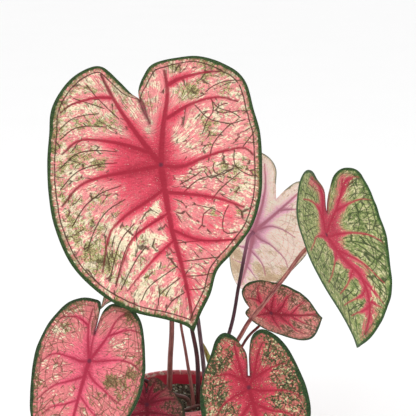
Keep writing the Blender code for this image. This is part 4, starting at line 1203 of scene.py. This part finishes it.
def make_soil():
    top_rings, sides = 46, 150
    edge = inner_wall_radius(SOIL_TOP) - 1.5 * GAP
    profile = [(edge * ring / top_rings, SOIL_TOP) for ring in range(top_rings + 1)]
    profile += [(inner_wall_radius(height) - 1.5 * GAP, height) for height in (0.06, FLOOR + 0.003)]
    profile += [(INNER_FOOT[0] - FLOOR_ROUNDING - GAP, FLOOR + GAP), (0.0, FLOOR + GAP)]
    points, faces = turned(profile, sides)
    faces = [face[::-1] for face in faces]
    points = [list(point) for point in points]
    for point in points[:1 + top_rings * sides]:
        x, y = point[:2]
        crumbs = noise.noise(Vector((x, y, 2.0)) * 380.0) * 0.5 + noise.noise(Vector((x, y, 3.0)) * 800.0) * 0.25
        point[2] += soil_swell(x, y, edge) + CRUMB * crumbs
    draw = np.random.default_rng(7)
    ball_points, ball_faces = lump()
    shades = [0.5] * len(points)
    for grain in range(GRAIN_COUNT):
        radius = edge * math.sqrt(draw.random()) * 0.985
        angle = draw.random() * 2 * math.pi
        x, y = radius * math.cos(angle), radius * math.sin(angle)
        size = GRAIN_SIZES[0] + GRAIN_SIZES[1] * draw.random() ** 2.2
        z = SOIL_TOP + soil_swell(x, y, edge) + size * 0.25
        size = min(size, edge - radius)
        stretch = 0.7 + 0.6 * draw.random(3)
        turn = draw.random() * math.pi
        shade = draw.random()
        first = len(points)
        for ball_point in ball_points:
            rough = 1 + 0.35 * noise.noise(Vector(ball_point) * 1.3 + Vector((grain, 0, 0)))
            a, b, c = ball_point * stretch * rough * size
            points.append([x + a * math.cos(turn) - b * math.sin(turn), y + a * math.sin(turn) + b * math.cos(turn),
                           z + 0.8 * c])
        shades += [shade] * len(ball_points)
        faces += [tuple(corner + first for corner in face) for face in ball_faces]
    return add_piece("potting_soil", points, faces, soil_finish(), "soil", {"shade": np.array(shades)})


def lump():
    """A small round body of 42 points and 80 triangles, of radius 1."""
    golden = (1 + 5 ** 0.5) / 2
    pairs = [(-1, golden), (1, golden), (-1, -golden), (1, -golden)]
    points = [(a, b, 0) for a, b in pairs] + [(0, a, b) for a, b in pairs] + [(b, 0, a) for a, b in pairs]
    faces = np.array([(0, 11, 5), (0, 5, 1), (0, 1, 7), (0, 7, 10), (0, 10, 11), (1, 5, 9), (5, 11, 4), (11, 10, 2),
                      (10, 7, 6), (7, 1, 8), (3, 9, 4), (3, 4, 2), (3, 2, 6), (3, 6, 8), (3, 8, 9), (4, 9, 5),
                      (2, 4, 11), (6, 2, 10), (8, 6, 7), (9, 8, 1)])
    points, faces = split_triangles(np.array(points, float), faces)
    return points / np.linalg.norm(points, axis=1, keepdims=True), [tuple(face) for face in faces]


def soil_finish():
    f = Finish("potting_soil")
    shade = f.attribute("shade", "Fac")
    place = f.node("ShaderNodeTexCoord", output="Object")
    fine = f.noise(place, 900.0, 3.0, 0.6)
    damp = f.noise(place, 70.0, 2.0)
    f.colour = seen(112, 104, 82)
    f.paint(f.smooth(shade, 0.50, 0.62), seen(148, 148, 118))
    f.paint(f.smooth(shade, 0.84, 0.88), seen(206, 210, 190))
    f.paint(f.smooth(shade, 0.30, 0.22), seen(62, 48, 36))
    # The ground's shade is 0.5 throughout, and no grain's is
    ground = f.mix(f.smooth(fine, 0.4, 0.65), seen(46, 40, 30), seen(104, 96, 76))
    f.colour = f.mix(f.smooth((shade - 0.5) * (shade - 0.5), 0.0, 0.00001), ground, f.colour)
    f.paint(f.smooth(damp, 0.5, 0.7) * 0.35, seen(86, 96, 52))
    f.paint(f.smooth(fine, 0.62, 0.5) * 0.25, seen(30, 26, 20))
    f.feed("Base Color", f.colour)
    f.feed("Roughness", 0.92)
    f.bump(fine, 0.6, 0.0008)
    return f


def add_light(name, place, aim, size, power, colour=(1.0, 1.0, 1.0)):
    lamp = bpy.data.lights.new(name, "AREA")
    lamp.size = size
    lamp.energy = power
    lamp.color = colour
    light = bpy.data.objects.new(name, lamp)
    light.location = place
    light.rotation_euler = (Vector(aim) - Vector(place)).to_track_quat("-Z", "Y").to_euler()
    bpy.context.scene.collection.objects.link(light)


def make_studio():
    floor_mesh = bpy.data.meshes.new("studio_floor")
    floor_mesh.from_pydata([(-30, -30, 0), (30, -30, 0), (30, 30, 0), (-30, 30, 0)], [], [(0, 1, 2, 3)])
    floor = bpy.data.objects.new("studio_floor", floor_mesh)
    bpy.context.scene.collection.objects.link(floor)
    f = Finish("studio_floor")
    place = f.node("ShaderNodeTexCoord", output="Object")
    f.feed("Base Color", f.mix(f.noise(place, 3.0), (0.95, 0.95, 0.95, 1.0), (0.97, 0.97, 0.97, 1.0)))
    f.feed("Roughness", 0.9)
    floor_mesh.materials.append(f.material)
    world = bpy.data.worlds.new("studio")
    world.use_nodes = True
    world.node_tree.nodes["Background"].inputs["Color"].default_value = (1.0, 1.0, 1.0, 1.0)
    world.node_tree.nodes["Background"].inputs["Strength"].default_value = 1.0
    bpy.context.scene.world = world
    add_light("key", (-0.9, -1.3, 1.7), (0.0, 0.0, 0.25), 1.2, 13.0)
    add_light("fill", (1.4, -0.9, 0.9), (0.05, 0.0, 0.25), 1.4, 5.0)
    bpy.context.scene.view_settings.view_transform = "Standard"


def make_camera():
    camera_data = bpy.data.cameras.new("camera")
    camera_data.sensor_width = 36.0
    camera_data.lens = CAMERA_LENS
    camera_data.clip_end = 100.0
    camera = bpy.data.objects.new("camera", camera_data)
    camera.location = CAMERA_PLACE
    camera.rotation_euler = (math.radians(90 - CAMERA_PITCH), 0.0, 0.0)
    bpy.context.scene.collection.objects.link(camera)
    bpy.context.scene.camera = camera


make_camera()
make_studio()
make_pot()
make_soil()
for leaf_name, leaf_shape in LEAVES.items():
    make_blade(leaf_name, leaf_shape)
    make_stalk(leaf_name, leaf_shape, STALKS[leaf_name])
make_young_leaf()
